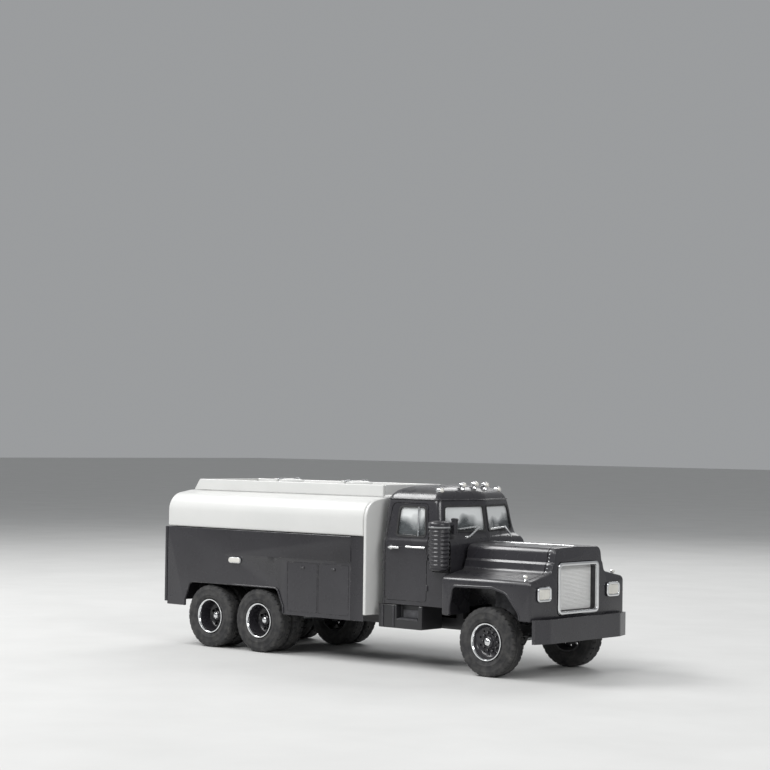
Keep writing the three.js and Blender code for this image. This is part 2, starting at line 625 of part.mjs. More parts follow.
// The manways' collars are raised from the tank top, each with a pair of hinge lugs behind it.
function tankTop() {
  const end = TANK.front - TANK.wall - GAP;
  const shell = cut(
    prismX(tankSection(0, TANK.belt), TANK.back, end),
    prismX(tankSection(TANK.wall, TANK.belt - 1), TANK.back + TANK.wall, end + 1),
  );
  const collars = MANWAY_X.flatMap((x) => {
    const tube = turnedZ([
      [0, 77.2], [MANWAY_RADIUS, 77.2], [MANWAY_RADIUS, MANWAY_RIM_TOP], [0, MANWAY_RIM_TOP],
    ], 16).translate(x, 0, 0);
    const hinge = x - LID_PIN_OFFSET;
    const lug = (side) => sideBox(side, hinge - 1.2, hinge + 1.2, 2.2, 3.6, 77.4, 83.6);
    return [tube, lug(1), lug(-1)];
  });
  const wells = MANWAY_X.map((x) => rodZ(MANWAY_RADIUS - 1.3, 70, 90, x, 0, 16));
  return cut(join(shell, ...collars), ...wells);
}

function tankLid() {
  const under = MANWAY_RIM_TOP + GAP;
  const disc = turnedZ([
    [0, under], [MANWAY_RADIUS + 0.4, under], [MANWAY_RADIUS + 0.4, under + 0.8],
    [MANWAY_RADIUS - 0.6, under + LID_THICKNESS], [0, under + LID_THICKNESS + 0.4],
  ], 16);
  const arm = box(-LID_PIN_OFFSET, -4, -1.6, 1.6, under, under + LID_THICKNESS);
  const barrel = rodY(0.8, -1.9, 1.9, -LID_PIN_OFFSET, under + 0.75, 10);
  return join(disc, arm, barrel);
}

// A coaming round the walkway: two side rails, a front rail and a raked rear rail.
function sideRail(side) {
  const { half, bottom, top, wall, back, front, rake } = COAMING;
  const face = outline([[back, bottom], [front, bottom], [front, top], [back + rake, top]], 2);
  return prismY(face, ...between(side * (half - wall), side * half));
}

function endRail(x, rake) {
  const { half, bottom, top, wall } = COAMING;
  const base = bottom + 0.8;
  const lean = (rake * (base - bottom)) / (top - bottom);
  const face = outline([[x + lean, base], [x + lean + wall, base], [x + rake + wall, top], [x + rake, top]], 2);
  const reach = half - wall - GAP;
  return prismY(face, -reach, reach);
}

function sideSkirt(side) {
  const end = TANK.front - TANK.wall - GAP;
  const { back, front, top, spread } = ARCH;
  const panel = sideBox(side, TANK.back, end, TANK.half - TANK.wall, TANK.half, SKIRT_BOTTOM, TANK.belt - GAP);
  const arch = outline([
    [back - spread, 10], [back - spread, 23, 4], [back, top, 3], [front, top, 3],
    [front + spread, 23, 4], [front + spread, 10],
  ], 3);
  return cut(panel, prismY(arch, -40, 40));
}

function bodyFloor() {
  const reach = TANK.half - TANK.wall - GAP;
  const end = TANK.front - TANK.wall - GAP;
  const plate = box(TANK.back + GAP, end, -reach, reach, FLOOR.bottom, FLOOR.top);
  const runner = (side) => sideBox(side, RAIL.back, end, RAIL.inner, RAIL.outer, RAIL.top + GAP, FLOOR.top);
  return join(plate, runner(1), runner(-1));
}

function rearPanel() {
  const plate = box(TANK.back - GAP - 1.5, TANK.back - GAP, -TANK.half, TANK.half, 21.2, TANK.belt - GAP);
  const cabinet = prismX(rectangle(-33.4, 33.4, 21.2, 52, 1.2, 2), -119.3, TANK.back - GAP - 1);
  const lampHoles = SIDES.map(([, side]) => rodX(2, -121, -118.2, side * 27, 30));
  return cut(join(plate, cabinet), ...lampHoles);
}

function tailLamp(side) {
  return turnedX([[0, -120], [1.9, -119.9], [2.4, -119.6], [1.7, -119.6], [1.7, -118.5], [0, -118.5]], 12)
    .translate(0, side * 27, 30);
}

function sideMarker(side) {
  const oval = outline([[-71, 42.8, 1.4], [-62.5, 42.8, 1.4], [-62.5, 45.7, 1.4], [-71, 45.7, 1.4]], 3);
  return prismY(oval, ...between(side * (TANK.half + GAP), side * (TANK.half + 0.9)));
}

add('tank_top', tankTop(), 'offWhite');
add('front_bulkhead', prismX(tankSection(0, RAIL.top + GAP), TANK.front - TANK.wall, TANK.front), 'offWhite');
add('body_floor', bodyFloor(), 'black');
add('rear_panel', rearPanel(), 'charcoal');
add('coaming_front', endRail(COAMING.front - COAMING.wall, 0), 'offWhite');
add('coaming_rear', endRail(COAMING.back, COAMING.rake), 'offWhite');
SIDES.forEach(([sideName, side]) => {
  add(`coaming_${sideName}`, sideRail(side), 'offWhite');
  add(`side_skirt_${sideName}`, sideSkirt(side), 'charcoal');
  add(`side_marker_${sideName}`, sideMarker(side), 'lens');
  add(`tail_lamp_${sideName}`, tailLamp(side), 'redLens');
});
MANWAY_X.forEach((x, i) => {
  add(`manway_lid_${['front', 'rear'][i]}`, tankLid(), 'steel', [x, 0, 0]);
});

export default truck;
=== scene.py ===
"""Looks of the toy tanker truck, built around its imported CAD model.

Builders below work in millimetres in the truck's own frame (+X forward, +Y its left, +Z up);
piece() turns them into metres when it makes the Blender object.
"""
import math

import bmesh
import bpy
from mathutils import Matrix, Vector


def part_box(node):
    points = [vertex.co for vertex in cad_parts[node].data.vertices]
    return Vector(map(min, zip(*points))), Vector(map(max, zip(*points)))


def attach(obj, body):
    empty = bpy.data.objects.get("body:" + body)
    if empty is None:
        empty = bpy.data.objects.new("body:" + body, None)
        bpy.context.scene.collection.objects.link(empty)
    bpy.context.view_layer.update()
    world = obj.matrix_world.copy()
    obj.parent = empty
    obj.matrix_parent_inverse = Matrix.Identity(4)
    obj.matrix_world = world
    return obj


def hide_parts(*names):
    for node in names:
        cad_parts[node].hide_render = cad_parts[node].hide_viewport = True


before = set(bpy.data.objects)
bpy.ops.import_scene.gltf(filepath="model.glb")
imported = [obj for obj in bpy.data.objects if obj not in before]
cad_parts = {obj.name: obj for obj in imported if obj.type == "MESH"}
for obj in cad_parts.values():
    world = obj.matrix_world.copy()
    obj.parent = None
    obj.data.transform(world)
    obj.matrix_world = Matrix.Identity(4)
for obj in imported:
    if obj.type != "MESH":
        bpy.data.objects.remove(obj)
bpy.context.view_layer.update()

MM = 0.001
SIDES = (("left", 1), ("right", -1))
SIGNS = (1, -1)

# ------------------------------------------------------------------ driving dimensions, millimetres


def node_box(node):
    """Lowest and highest corner of a CAD node, in millimetres."""
    low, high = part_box(node)
    return low / MM, high / MM


def node_centre(node):
    low, high = node_box(node)
    return (low + high) / 2


AXLE_X = {name: node_centre(f"{name}_axle").x for name in ("front", "mid", "rear")}
AXLE_Z = node_centre("front_axle").z
TYRE_RADIUS = AXLE_Z
RIM_RADIUS = 8.4

CAB_HALF = 30.2
CAB_WALL = 1.4
COWL_BACK = 52.2
DOOR = {"back": 26.4, "front": 51.7, "bottom": 30.6}
WINDOW = {"bottom": 60.5, "top": 73.9, "back": 32.2, "front": 49.6}

HOOD_LOW, HOOD_HIGH = node_box("hood_shell")
HOOD_BACK, HOOD_FRONT = HOOD_LOW.x, HOOD_HIGH.x
HOOD_HALF = 18.6
HOOD_TOP = 58.4
HOOD_BOTTOM = 26.0
HOOD_WALL = 1.5
FENDER_HALF = HOOD_HIGH.y
FENDER_CROWN = 43.4
HOOD_PIN = node_centre("hood_hinge_pin")

TANK_LOW, TANK_HIGH = node_box("tank_top")
TANK_HALF = TANK_HIGH.y
TANK_BELT = 59.5
TANK_CROWN = 78.4
TANK_WALL = 1.4

# ------------------------------------------------------------------ outlines and solids


def fillet(corners, steps=8):
    """Points of an outline of (a, b) or (a, b, radius) corners, each rounded by its radius."""
    points = []
    for i, corner in enumerate(corners):
        here = Vector(corner[:2])
        radius = corner[2] if len(corner) > 2 else 0
        if radius == 0:
            points.append(here)
            continue
        before = (Vector(corners[i - 1][:2]) - here).normalized()
        after = (Vector(corners[(i + 1) % len(corners)][:2]) - here).normalized()
        half = before.angle(after) / 2
        centre = here + (before + after).normalized() * radius / math.sin(half)
        start = here + before * radius / math.tan(half) - centre
        end = here + after * radius / math.tan(half) - centre
        turn = math.atan2(start.cross(end), start.dot(end))
        for step in range(steps + 1):
            angle = turn * step / steps
            arm = Vector((
                start.x * math.cos(angle) - start.y * math.sin(angle),
                start.x * math.sin(angle) + start.y * math.cos(angle),
            ))
            points.append(centre + arm)
    return points


def span(side, near, far):
    """A range across the truck on one side, lowest first."""
    return sorted((side * near, side * far))


def rectangle(a0, a1, b0, b1, radius=0, steps=6):
    return fillet([(a0, b0, radius), (a1, b0, radius), (a1, b1, radius), (a0, b1, radius)], steps)


def circle(a, b, radius, sides=48):
    angles = [2 * math.pi * i / sides for i in range(sides)]
    return [Vector((a + radius * math.cos(angle), b + radius * math.sin(angle))) for angle in angles]


PLACES = {
    "x": lambda p, t: Vector((t, p[0], p[1])),
    "y": lambda p, t: Vector((p[0], t, p[1])),
    "z": lambda p, t: Vector((p[0], p[1], t)),
}


def add_rings(bm, rings, closed_ends=True):
    """Quads between rings of equal point counts, with the first and last ring capped."""
    loops = [[bm.verts.new(point) for point in ring] for ring in rings]
    for low, high in zip(loops, loops[1:]):
        for i in range(len(low)):
            j = (i + 1) % len(low)
            bm.faces.new((low[i], low[j], high[j], high[i]))
    if closed_ends:
        bm.faces.new(loops[0])
        bm.faces.new(loops[-1])


def add_prism(bm, points, axis, low, high):
    place = PLACES[axis]
    add_rings(bm, [[place(p, low) for p in points], [place(p, high) for p in points]])


def add_frame(bm, outer, inner, axis, low, high):
    """A closed band between two outlines of equal point counts."""
    place = PLACES[axis]
    rings = [
        [place(p, low) for p in outer],
        [place(p, high) for p in outer],
        [place(p, high) for p in inner],
        [place(p, low) for p in inner],
    ]
    add_rings(bm, rings + [rings[0]], closed_ends=False)
    bmesh.ops.remove_doubles(bm, verts=bm.verts, dist=1e-5)


def add_box(bm, x0, x1, y0, y1, z0, z1):
    add_prism(bm, [(x0, y0), (x1, y0), (x1, y1), (x0, y1)], "z", z0, z1)


TURNS = {
    "x": lambda r, t, a: Vector((t, r * math.cos(a), r * math.sin(a))),
    "y": lambda r, t, a: Vector((r * math.sin(a), t, r * math.cos(a))),
    "z": lambda r, t, a: Vector((r * math.cos(a), r * math.sin(a), t)),
}


def add_turned(bm, profile, axis, centre=(0, 0, 0), sides=48, closed=False):
    """Turns a profile of (radius, height along axis). An end on the axis becomes one point."""
    turn = TURNS[axis]
    centre = Vector(centre)
    rows = []
    for radius, height in profile:
        count = 1 if radius == 0 else sides
        rows.append([
            bm.verts.new(centre + turn(radius, height, 2 * math.pi * i / sides)) for i in range(count)
        ])
    spans = list(zip(rows, rows[1:])) + ([(rows[-1], rows[0])] if closed else [])
    for a, b in spans:
        for i in range(sides):
            j = (i + 1) % sides
            corners = [a[i % len(a)], a[j % len(a)], b[j % len(b)], b[i % len(b)]]
            distinct = list(dict.fromkeys(corners))
            if len(distinct) > 2:
                bm.faces.new(distinct)


def add_tube(bm, path, radius, sides=10):
    """A round bar along a path of points, with closed ends."""
    points = [Vector(p) for p in path]
    rings = []
    across = None
    for i, point in enumerate(points):
        ahead = points[min(i + 1, len(points) - 1)] - points[max(i - 1, 0)]
        ahead.normalize()
        if across is None:
            guide = Vector((0, 0, 1)) if abs(ahead.z) < 0.9 else Vector((1, 0, 0))
            across = ahead.cross(guide).normalized()
        else:
            across = (across - ahead * across.dot(ahead)).normalized()
        up = ahead.cross(across)
        rings.append([
            point + (across * math.cos(a) + up * math.sin(a)) * radius
            for a in (2 * math.pi * k / sides for k in range(sides))
        ])
    add_rings(bm, rings)


def solid(build):
    """A bmesh filled by build(bm), with its faces pointing out."""
    bm = bmesh.new()
    build(bm)
    bmesh.ops.recalc_face_normals(bm, faces=bm.faces)
    return bm


def make_object(name, bm):
    mesh = bpy.data.meshes.new(name)
    bm.to_mesh(mesh)
    bm.free()
    obj = bpy.data.objects.new(name, mesh)
    bpy.context.scene.collection.objects.link(obj)
    return obj


def bake_modifiers(obj):
    graph = bpy.context.evaluated_depsgraph_get()
    mesh = bpy.data.meshes.new_from_object(obj.evaluated_get(graph))
    obj.modifiers.clear()
    obj.data = mesh


def boolean(obj, cutter, operation="DIFFERENCE"):
    """Cuts, joins or intersects obj with a throwaway cutter."""
    step = obj.modifiers.new("boolean", "BOOLEAN")
    step.operation = operation
    step.solver = "EXACT"
    step.object = cutter
    bpy.context.view_layer.update()
    bake_modifiers(obj)
    bpy.data.objects.remove(cutter)


def cutter_of(build):
    return make_object("cutter", solid(build))


def round_edges(obj, width, segments=3, angle=32):
    """Small rounded edges, with flat faces that stay flat in the shading."""
    bevel = obj.modifiers.new("edges", "BEVEL")
    bevel.width = width
    bevel.segments = segments
    bevel.limit_method = "ANGLE"
    bevel.angle_limit = math.radians(angle)
    bevel.use_clamp_overlap = True
    bevel.miter_outer = "MITER_ARC"
    obj.data.shade_smooth()
    obj.modifiers.new("normals", "WEIGHTED_NORMAL").keep_sharp = True


def soften_ends(obj, width):
    """Rounds the edges round the two ends of a long body."""
    bevel = obj.modifiers.new("ends", "BEVEL")
    bevel.width = width
    bevel.segments = 4
    bevel.limit_method = "ANGLE"
    bevel.angle_limit = math.radians(60)
    bake_modifiers(obj)


def piece(name, source, material, body, replaces=(), edge=0.0, smooth=32, segments=3):
    """Finishes a piece: source is a bmesh or an object in millimetres."""
    obj = make_object(name, source) if isinstance(source, bmesh.types.BMesh) else source
    obj.name = name
    if edge:
        round_edges(obj, edge, segments)
        bpy.context.view_layer.update()
        bake_modifiers(obj)
    else:
        obj.data.shade_smooth()
        obj.data.set_sharp_from_angle(angle=math.radians(smooth))
    obj.data.transform(Matrix.Scale(MM, 4))
    obj.data.materials.clear()
    obj.data.materials.append(material)
    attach(obj, body)
    if replaces:
        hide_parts(*replaces)
    return obj

# ------------------------------------------------------------------ materials


class Shader:
    """A node material with a few words for the nodes used below."""

    def __init__(self, name):
        self.material = bpy.data.materials.new(name)
        self.material.use_nodes = True
        self.tree = self.material.node_tree
        self.principled = self.tree.nodes["Principled BSDF"]
        self.place = self.add("ShaderNodeTexCoord").outputs["Object"]

    def add(self, kind, **settings):
        node = self.tree.nodes.new(kind)
        for key, value in settings.items():
            setattr(node, key, value)
        return node

    def link(self, source, target):
        self.tree.links.new(source, target)

    def put(self, socket, value):
        """Sets a socket's own value, or links it where the value comes from a node."""
        if isinstance(value, bpy.types.NodeSocket):
            self.link(value, socket)
        else:
            socket.default_value = value

    def noise(self, size_mm, detail=4.0, roughness=0.55, stretch=(1, 1, 1)):
        """Noise from 0 to 1 whose blotches are about size_mm across."""
        mapping = self.add("ShaderNodeMapping")
        mapping.inputs["Scale"].default_value = stretch
        self.link(self.place, mapping.inputs["Vector"])
        node = self.add("ShaderNodeTexNoise")
        node.inputs["Scale"].default_value = 1 / (size_mm * MM)
        node.inputs["Detail"].default_value = detail
        node.inputs["Roughness"].default_value = roughness
        self.link(mapping.outputs["Vector"], node.inputs["Vector"])
        return node.outputs["Fac"]

    def spread(self, value, low, high, to_low=0.0, to_high=1.0):
        """Maps low..high of a value to to_low..to_high, clamped."""
        node = self.add("ShaderNodeMapRange")
        self.put(node.inputs["Value"], value)
        node.inputs["From Min"].default_value = low
        node.inputs["From Max"].default_value = high
        node.inputs["To Min"].default_value = to_low
        node.inputs["To Max"].default_value = to_high
        return node.outputs["Result"]

    def maths(self, operation, a, b=0.0):
        node = self.add("ShaderNodeMath", operation=operation)
        self.put(node.inputs[0], a)
        self.put(node.inputs[1], b)
        return node.outputs["Value"]

    def mix(self, factor, a, b):
        node = self.add("ShaderNodeMix", data_type="RGBA")
        self.put(node.inputs["Factor"], factor)
        self.put(node.inputs[6], a)
        self.put(node.inputs[7], b)
        return node.outputs[2]

    def blend_values(self, factor, a, b):
        node = self.add("ShaderNodeMix", data_type="FLOAT")
        self.put(node.inputs["Factor"], factor)
        self.put(node.inputs[2], a)
        self.put(node.inputs[3], b)
        return node.outputs[0]

    def edges(self, reach_mm, low=0.02, high=0.18):
        """1 on convex and concave edges within reach_mm, 0 on flat ground."""
        bevel = self.add("ShaderNodeBevel", samples=4)
        bevel.inputs["Radius"].default_value = reach_mm * MM
        normal = self.add("ShaderNodeNewGeometry").outputs["Normal"]
        dot = self.add("ShaderNodeVectorMath", operation="DOT_PRODUCT")
        self.link(bevel.outputs["Normal"], dot.inputs[0])
        self.link(normal, dot.inputs[1])
        return self.spread(self.maths("SUBTRACT", 1.0, dot.outputs["Value"]), low, high)

    def upward(self):
        """1 on faces that look up, 0 on the others."""
        split = self.add("ShaderNodeSeparateXYZ")
        self.link(self.add("ShaderNodeNewGeometry").outputs["Normal"], split.inputs[0])
        return self.spread(split.outputs["Z"], 0.3, 0.95)

    def bump(self, height, depth_mm, strength=1.0):
        node = self.add("ShaderNodeBump")
        node.inputs["Distance"].default_value = depth_mm * MM
        node.inputs["Strength"].default_value = strength
        self.put(node.inputs["Height"], height)
        self.link(node.outputs["Normal"], self.principled.inputs["Normal"])

    def finish(self, color, roughness, metallic=0.0, **sockets):
        inputs = self.principled.inputs
        self.put(inputs["Base Color"], color)
        self.put(inputs["Roughness"], roughness)
        self.put(inputs["Metallic"], metallic)
        for name, value in sockets.items():
            self.put(inputs[name.replace("_", " ")], value)
        return self.material


def rgb(red, green, blue):
    return (red, green, blue, 1.0)


def enamel(name, color, shade, gloss, dust, primer=(0.30, 0.29, 0.28), wear=0.5):
    """Sprayed enamel on sheet metal: cloudy colour, orange peel, rubbed edges, a little dust."""
    s = Shader(name)
    clouds = s.spread(s.noise(26), 0.3, 0.7)
    paint = s.mix(clouds, rgb(*color), rgb(*shade))
    dusty = s.maths("MULTIPLY", s.upward(), s.spread(s.noise(7, 6), 0.35, 0.75, 0.0, 0.55))
    paint = s.mix(dusty, paint, rgb(*dust))
    rubbed = s.maths("MULTIPLY", s.edges(0.45), s.spread(s.noise(2.2, 6, 0.7), 0.50, 0.66, 0.0, wear))
    paint = s.mix(rubbed, paint, rgb(*primer))
    scuffs = s.spread(s.noise(9, 5, 0.55), 0.35, 0.75, gloss, gloss + 0.12)
    rough = s.blend_values(rubbed, s.maths("ADD", scuffs, s.maths("MULTIPLY", dusty, 0.35)), 0.55)
    s.bump(s.noise(0.9, 2), 0.02, 0.35)
    return s.finish(paint, rough, Coat_Weight=0.25, Coat_Roughness=0.12)


def bright_metal(name, color, rough_low, rough_high, grain=(1, 1, 1), soil=(0.12, 0.11, 0.10)):
    """Plated or turned metal: fine grain in its roughness, soil held in its corners."""
    s = Shader(name)
    held = s.maths("MULTIPLY", s.edges(0.5, 0.05, 0.5), s.spread(s.noise(1.6, 5), 0.42, 0.62, 0.0, 0.35))
    metal = s.mix(s.spread(s.noise(9), 0.3, 0.7), rgb(*color), rgb(*(c * 0.9 for c in color)))
    rough = s.spread(s.noise(1.2, 6, 0.6, grain), 0.3, 0.75, rough_low, rough_high)
    s.bump(s.noise(0.6, 3, 0.5, grain), 0.01, 0.25)
    return s.finish(s.mix(held, metal, rgb(*soil)), s.blend_values(held, rough, 0.6), 1.0)


def moulded(name, color, roughness, grain_mm=0.35, depth_mm=0.03, dust=0.25, pale=(0.25, 0.24, 0.22)):
    """Rubber or plastic from a mould: fine pebble grain, with pale dust in random patches."""
    s = Shader(name)
    tone = s.mix(s.spread(s.noise(12), 0.3, 0.7), rgb(*color), rgb(*(c * 1.7 + 0.004 for c in color)))
    settled = s.spread(s.noise(3.5, 7, 0.65), 0.42, 0.75, 0.0, dust)
    tone = s.mix(settled, tone, rgb(*pale))
    rough = s.spread(s.noise(2.5, 5), 0.3, 0.7, roughness - 0.08, roughness + 0.1)
    s.bump(s.noise(grain_mm, 3), depth_mm, 0.6)
    return s.finish(tone, rough)


def window_glass(name):
    """Window panes: a painted pale reflection of the sky, in patches toward the top of a clear pane that lets
    the dark cab show through.
    """
    s = Shader(name)
    split = s.add("ShaderNodeSeparateXYZ")
    s.link(s.place, split.inputs[0])
    height = s.spread(split.outputs["Z"], 62 * MM, 74 * MM)
    # Painted reflection: pale patches growing toward the top stand in for sky seen in the glass, and make the
    # pane less clear there.
    painted_sky_reflection = s.spread(s.maths("ADD", height, s.noise(11, 2, 0.4)), 0.85, 1.15)
    tint = s.mix(painted_sky_reflection, rgb(0.20, 0.22, 0.23), rgb(0.84, 0.86, 0.86))
    s.bump(s.noise(6, 2), 0.04, 0.15)
    alpha = s.blend_values(painted_sky_reflection, 0.28, 0.88)
    return s.finish(tint, s.blend_values(painted_sky_reflection, 0.05, 0.16), Alpha=alpha, Coat_Weight=0.8, IOR=1.49)


def clear(name, color, alpha, roughness=0.06):
    """Clear moulded plastic for lenses, with faint haze and flow marks."""
    s = Shader(name)
    haze = s.noise(8, 5)
    tint = s.mix(s.spread(haze, 0.35, 0.7), rgb(*color), rgb(*(c * 0.82 for c in color)))
    s.bump(s.noise(5, 2), 0.05, 0.2)
    rough = s.spread(haze, 0.35, 0.75, roughness, roughness + 0.12)
    return s.finish(tint, rough, Alpha=alpha, Coat_Weight=0.6, IOR=1.49)


def cast_metal(name, color):
    s = Shader(name)
    tone = s.mix(s.spread(s.noise(4, 6), 0.35, 0.65), rgb(*color), rgb(*(c * 0.6 for c in color)))
    s.bump(s.noise(0.5, 5, 0.7), 0.06, 0.7)
    return s.finish(tone, s.spread(s.noise(2), 0.3, 0.7, 0.5, 0.72), 0.7)


CHARCOAL = enamel("charcoal_enamel", (0.024, 0.023, 0.027), (0.032, 0.031, 0.036), 0.22,
                  (0.080, 0.077, 0.075))
WHITE = enamel("white_enamel", (0.74, 0.74, 0.725), (0.69, 0.695, 0.68), 0.30, (0.63, 0.62, 0.60),
               primer=(0.35, 0.34, 0.33), wear=0.6)
BLACK = enamel("chassis_black", (0.014, 0.014, 0.016), (0.022, 0.022, 0.024), 0.38, (0.09, 0.085, 0.08))
CHROME = bright_metal("chrome_plate", (0.88, 0.89, 0.90), 0.05, 0.16)
SATIN_CHROME = bright_metal("satin_plate", (0.86, 0.87, 0.87), 0.20, 0.34)
MESH_SILVER = enamel("mesh_silver", (0.86, 0.86, 0.85), (0.80, 0.80, 0.79), 0.35, (0.70, 0.69, 0.67),
                     wear=0.1)
STEEL = bright_metal("turned_steel", (0.56, 0.57, 0.58), 0.22, 0.4, grain=(1, 6, 1))
RUBBER = moulded("tyre_rubber", (0.017, 0.017, 0.018), 0.74, dust=0.22)
GASKET = moulded("gasket_rubber", (0.014, 0.014, 0.015), 0.6, dust=0.1)
INTERIOR = moulded("interior_plastic", (0.10, 0.085, 0.07), 0.62, 0.6, 0.05, 0.15)
DARK_PLASTIC = moulded("dark_plastic", (0.02, 0.02, 0.022), 0.5, 0.5, 0.03, 0.1)
WINDOW_PANE = window_glass("window_pane")
PALE_LENS = clear("pale_lens", (0.90, 0.88, 0.82), 0.92, 0.1)
RED_LENS = clear("red_lens", (0.42, 0.03, 0.025), 0.95, 0.12)
CAST = cast_metal("cast_metal", (0.16, 0.16, 0.17))


def dress(node, material, edge=0.25, angle=32):
    """A carried-over CAD node: welded, its edges eased by modifiers, and given a material."""
    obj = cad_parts[node]
    weld = obj.modifiers.new("weld", "WELD")
    weld.merge_threshold = 1e-6
    if edge:
        bevel = obj.modifiers.new("edges", "BEVEL")
        bevel.width = edge * MM
        bevel.segments = 2
        bevel.limit_method = "ANGLE"
        bevel.angle_limit = math.radians(angle)
    obj.data.shade_smooth()
    obj.modifiers.new("normals", "WEIGHTED_NORMAL").keep_sharp = True
    obj.data.materials.clear()
    obj.data.materials.append(material)
    return obj


# ------------------------------------------------------------------ wheels


def add_tyre(bm, centre, half, axis_out, sides=160, notch_every=5):
    """One tyre: bulged sidewalls with two ribs, a grooved tread and notched shoulders."""
    bead = RIM_RADIUS + 0.15
    top = TYRE_RADIUS
    groove = 0.5
    profile = [
        (bead, half - 1.0, 0), (bead + 0.7, half - 0.35, 0), (bead + 1.6, half - 0.18, 0),
        (bead + 1.9, half + 0.0, 0), (bead + 2.3, half + 0.0, 0), (bead + 2.6, half - 0.14, 0),
        (bead + 4.4, half - 0.05, 0), (bead + 4.7, half + 0.0, 0), (bead + 5.0, half - 0.15, 0),
        (top - 1.3, half - 0.3, 0), (top - 0.45, half - 0.55, 0.5), (top - 0.1, half - 0.95, 1),
    ]
    ribs = 4
    width = 2 * (half - 1.1)
    for rib in range(ribs):
        start = half - 1.1 - width * rib / ribs
        end = half - 1.1 - width * (rib + 1) / ribs
        shoulder = 1 if rib in (0, ribs - 1) else 0
        profile += [(top, start - 0.12, shoulder), (top, end + 0.12, 0)]
        if rib < ribs - 1:
            profile += [(top - groove, end + 0.05, 0), (top - groove, end - 0.05, 0)]
    flip = [(radius, -y, notch) for radius, y, notch in profile[11::-1]]
    profile[-1] = (top, -(half - 1.1) + 0.12, 1)
    profile += flip
    rows = []
    for radius, y, notch in profile:
        row = []
        for i in range(sides):
            depth = 0.55 * notch if i % notch_every == 0 else 0.0
            angle = 2 * math.pi * i / sides
            r = radius - depth
            row.append(bm.verts.new((
                centre[0] + r * math.sin(angle), centre[1] + y * axis_out, centre[2] + r * math.cos(angle),
            )))
        rows.append(row)
    for a, b in zip(rows, rows[1:] + rows[:1]):
        for i in range(sides):
            j = (i + 1) % sides
            bm.faces.new((a[i], a[j], b[j], b[i]))


def outward_turned(bm, profile, centre, side, sides=72, closed=True):
    add_turned(bm, [(r, side * y) for r, y in profile], "y", centre, sides, closed)


def add_nuts(bm, centre, side, ring, reach, count=10, across=0.62):
    """Wheel nuts: six-sided, standing out of the disc on a ring."""
    for i in range(count):
        angle = 2 * math.pi * (i + 0.5) / count
        spot = (centre[0] + ring * math.sin(angle), centre[1], centre[2] + ring * math.cos(angle))
        outward_turned(bm, [(0, reach - 0.9), (across, reach - 0.9), (across, reach - 0.15),
                            (across * 0.6, reach), (0, reach)], spot, side, 6, closed=False)


def holed_disc(profile, centre, side, holes, ring, radius):
    """A turned wheel disc with a ring of hand holes cut through it."""
    disc = make_object("disc", solid(lambda bm: outward_turned(bm, profile, centre, side)))

    def drills(bm):
        for i in range(holes):
            angle = 2 * math.pi * i / holes
            x = centre[0] + ring * math.sin(angle)
            z = centre[2] + ring * math.cos(angle)
            add_prism(bm, circle(x, z, radius, 20), "y", centre[1] - 20, centre[1] + 20)

    boolean(disc, cutter_of(drills))
    return disc


def make_wheel(axle, side_name, side, dual):
    body = f"{axle}_wheelset"
    low, high = node_box(f"{axle}_tyre_{side_name}")
    middle = (low.y + high.y) / 2
    half = (high.y - low.y) / 2
    centre = Vector((AXLE_X[axle], middle, AXLE_Z))
    name = f"{axle}_{{}}_{side_name}"
    if dual:
        each = (half - 0.45) / 2
        tyre_places = [(centre + Vector((0, sign * (each + 0.45), 0)), each) for sign in (-1, 1)]
    else:
        tyre_places = [(centre, half)]

    def tyres(bm):
        for place, width in tyre_places:
            add_tyre(bm, place, width, side)

    piece(name.format("tyre_rubber"), solid(tyres), RUBBER, body,
          [f"{axle}_tyre_{side_name}"], smooth=28)
    lip = half - 0.35
    dish = lip - (7.4 if dual else 2.7)
    rim = [
        (RIM_RADIUS + 0.1, lip - 0.25), (RIM_RADIUS - 0.05, lip + 0.05), (RIM_RADIUS - 0.45, lip + 0.05),
        (RIM_RADIUS - 0.8, lip - 0.3), (RIM_RADIUS - 0.95, lip - 1.2), (RIM_RADIUS - 0.35, lip - 1.3),
    ]
    piece(name.format("rim_ring"), solid(lambda bm: outward_turned(bm, rim, centre, side, 96)), CHROME, body,
          smooth=40)
    barrel = [
        (RIM_RADIUS - 0.95, lip - 1.1), (RIM_RADIUS - 1.25, dish + 0.8), (6.6, dish - 0.05), (5.6, dish - 0.55),
        (3.7, dish - 0.75), (3.3, dish - 0.2), (3.0, dish - 0.2), (3.0, -half + 1.4), (3.6, -half + 1.4),
        (3.8, dish - 1.6), (5.6, dish - 1.5), (7.0, dish - 0.7), (RIM_RADIUS - 0.35, -half + 1),
        (RIM_RADIUS - 0.05, -half + 1), (RIM_RADIUS - 0.1, lip - 1.3),
    ]
    disc = holed_disc(barrel, centre, side, 5 if dual else 10, 5.6, 0.75 if dual else 0.5)
    piece(name.format("wheel_disc"), disc, CHARCOAL, body,
          [f"{axle}_wheel_{side_name}"], smooth=35)
    cap_reach = dish + (3.6 if dual else 1.9)
    hub = [
        (0, -half + 2), (3.1, -half + 2), (3.1, dish - 0.1), (2.6, dish + 0.35), (2.4, cap_reach - 1.0),
        (2.0, cap_reach - 0.7), (0, cap_reach - 0.7),
    ]

    def hub_and_nuts(bm):
        outward_turned(bm, hub, centre, side, 48, closed=False)
        add_nuts(bm, centre, side, 4.15, dish + 0.25)

    piece(name.format("hub"), solid(hub_and_nuts), CHARCOAL, body, smooth=30)
    cap = [
        (0, cap_reach - 0.68), (1.75, cap_reach - 0.68), (1.75, cap_reach - 0.3), (1.45, cap_reach + 0.05),
        (0.8, cap_reach + 0.35), (0, cap_reach + 0.45),
    ]
    piece(name.format("hub_cap"), solid(lambda bm: outward_turned(bm, cap, centre, side, 40, closed=False)),
          CHROME, body, smooth=60)


def make_wheels():
    for axle in AXLE_X:
        for side_name, side in SIDES:
            make_wheel(axle, side_name, side, dual=axle != "front")
        dress(f"{axle}_axle", STEEL, 0.1)


# ------------------------------------------------------------------ cab

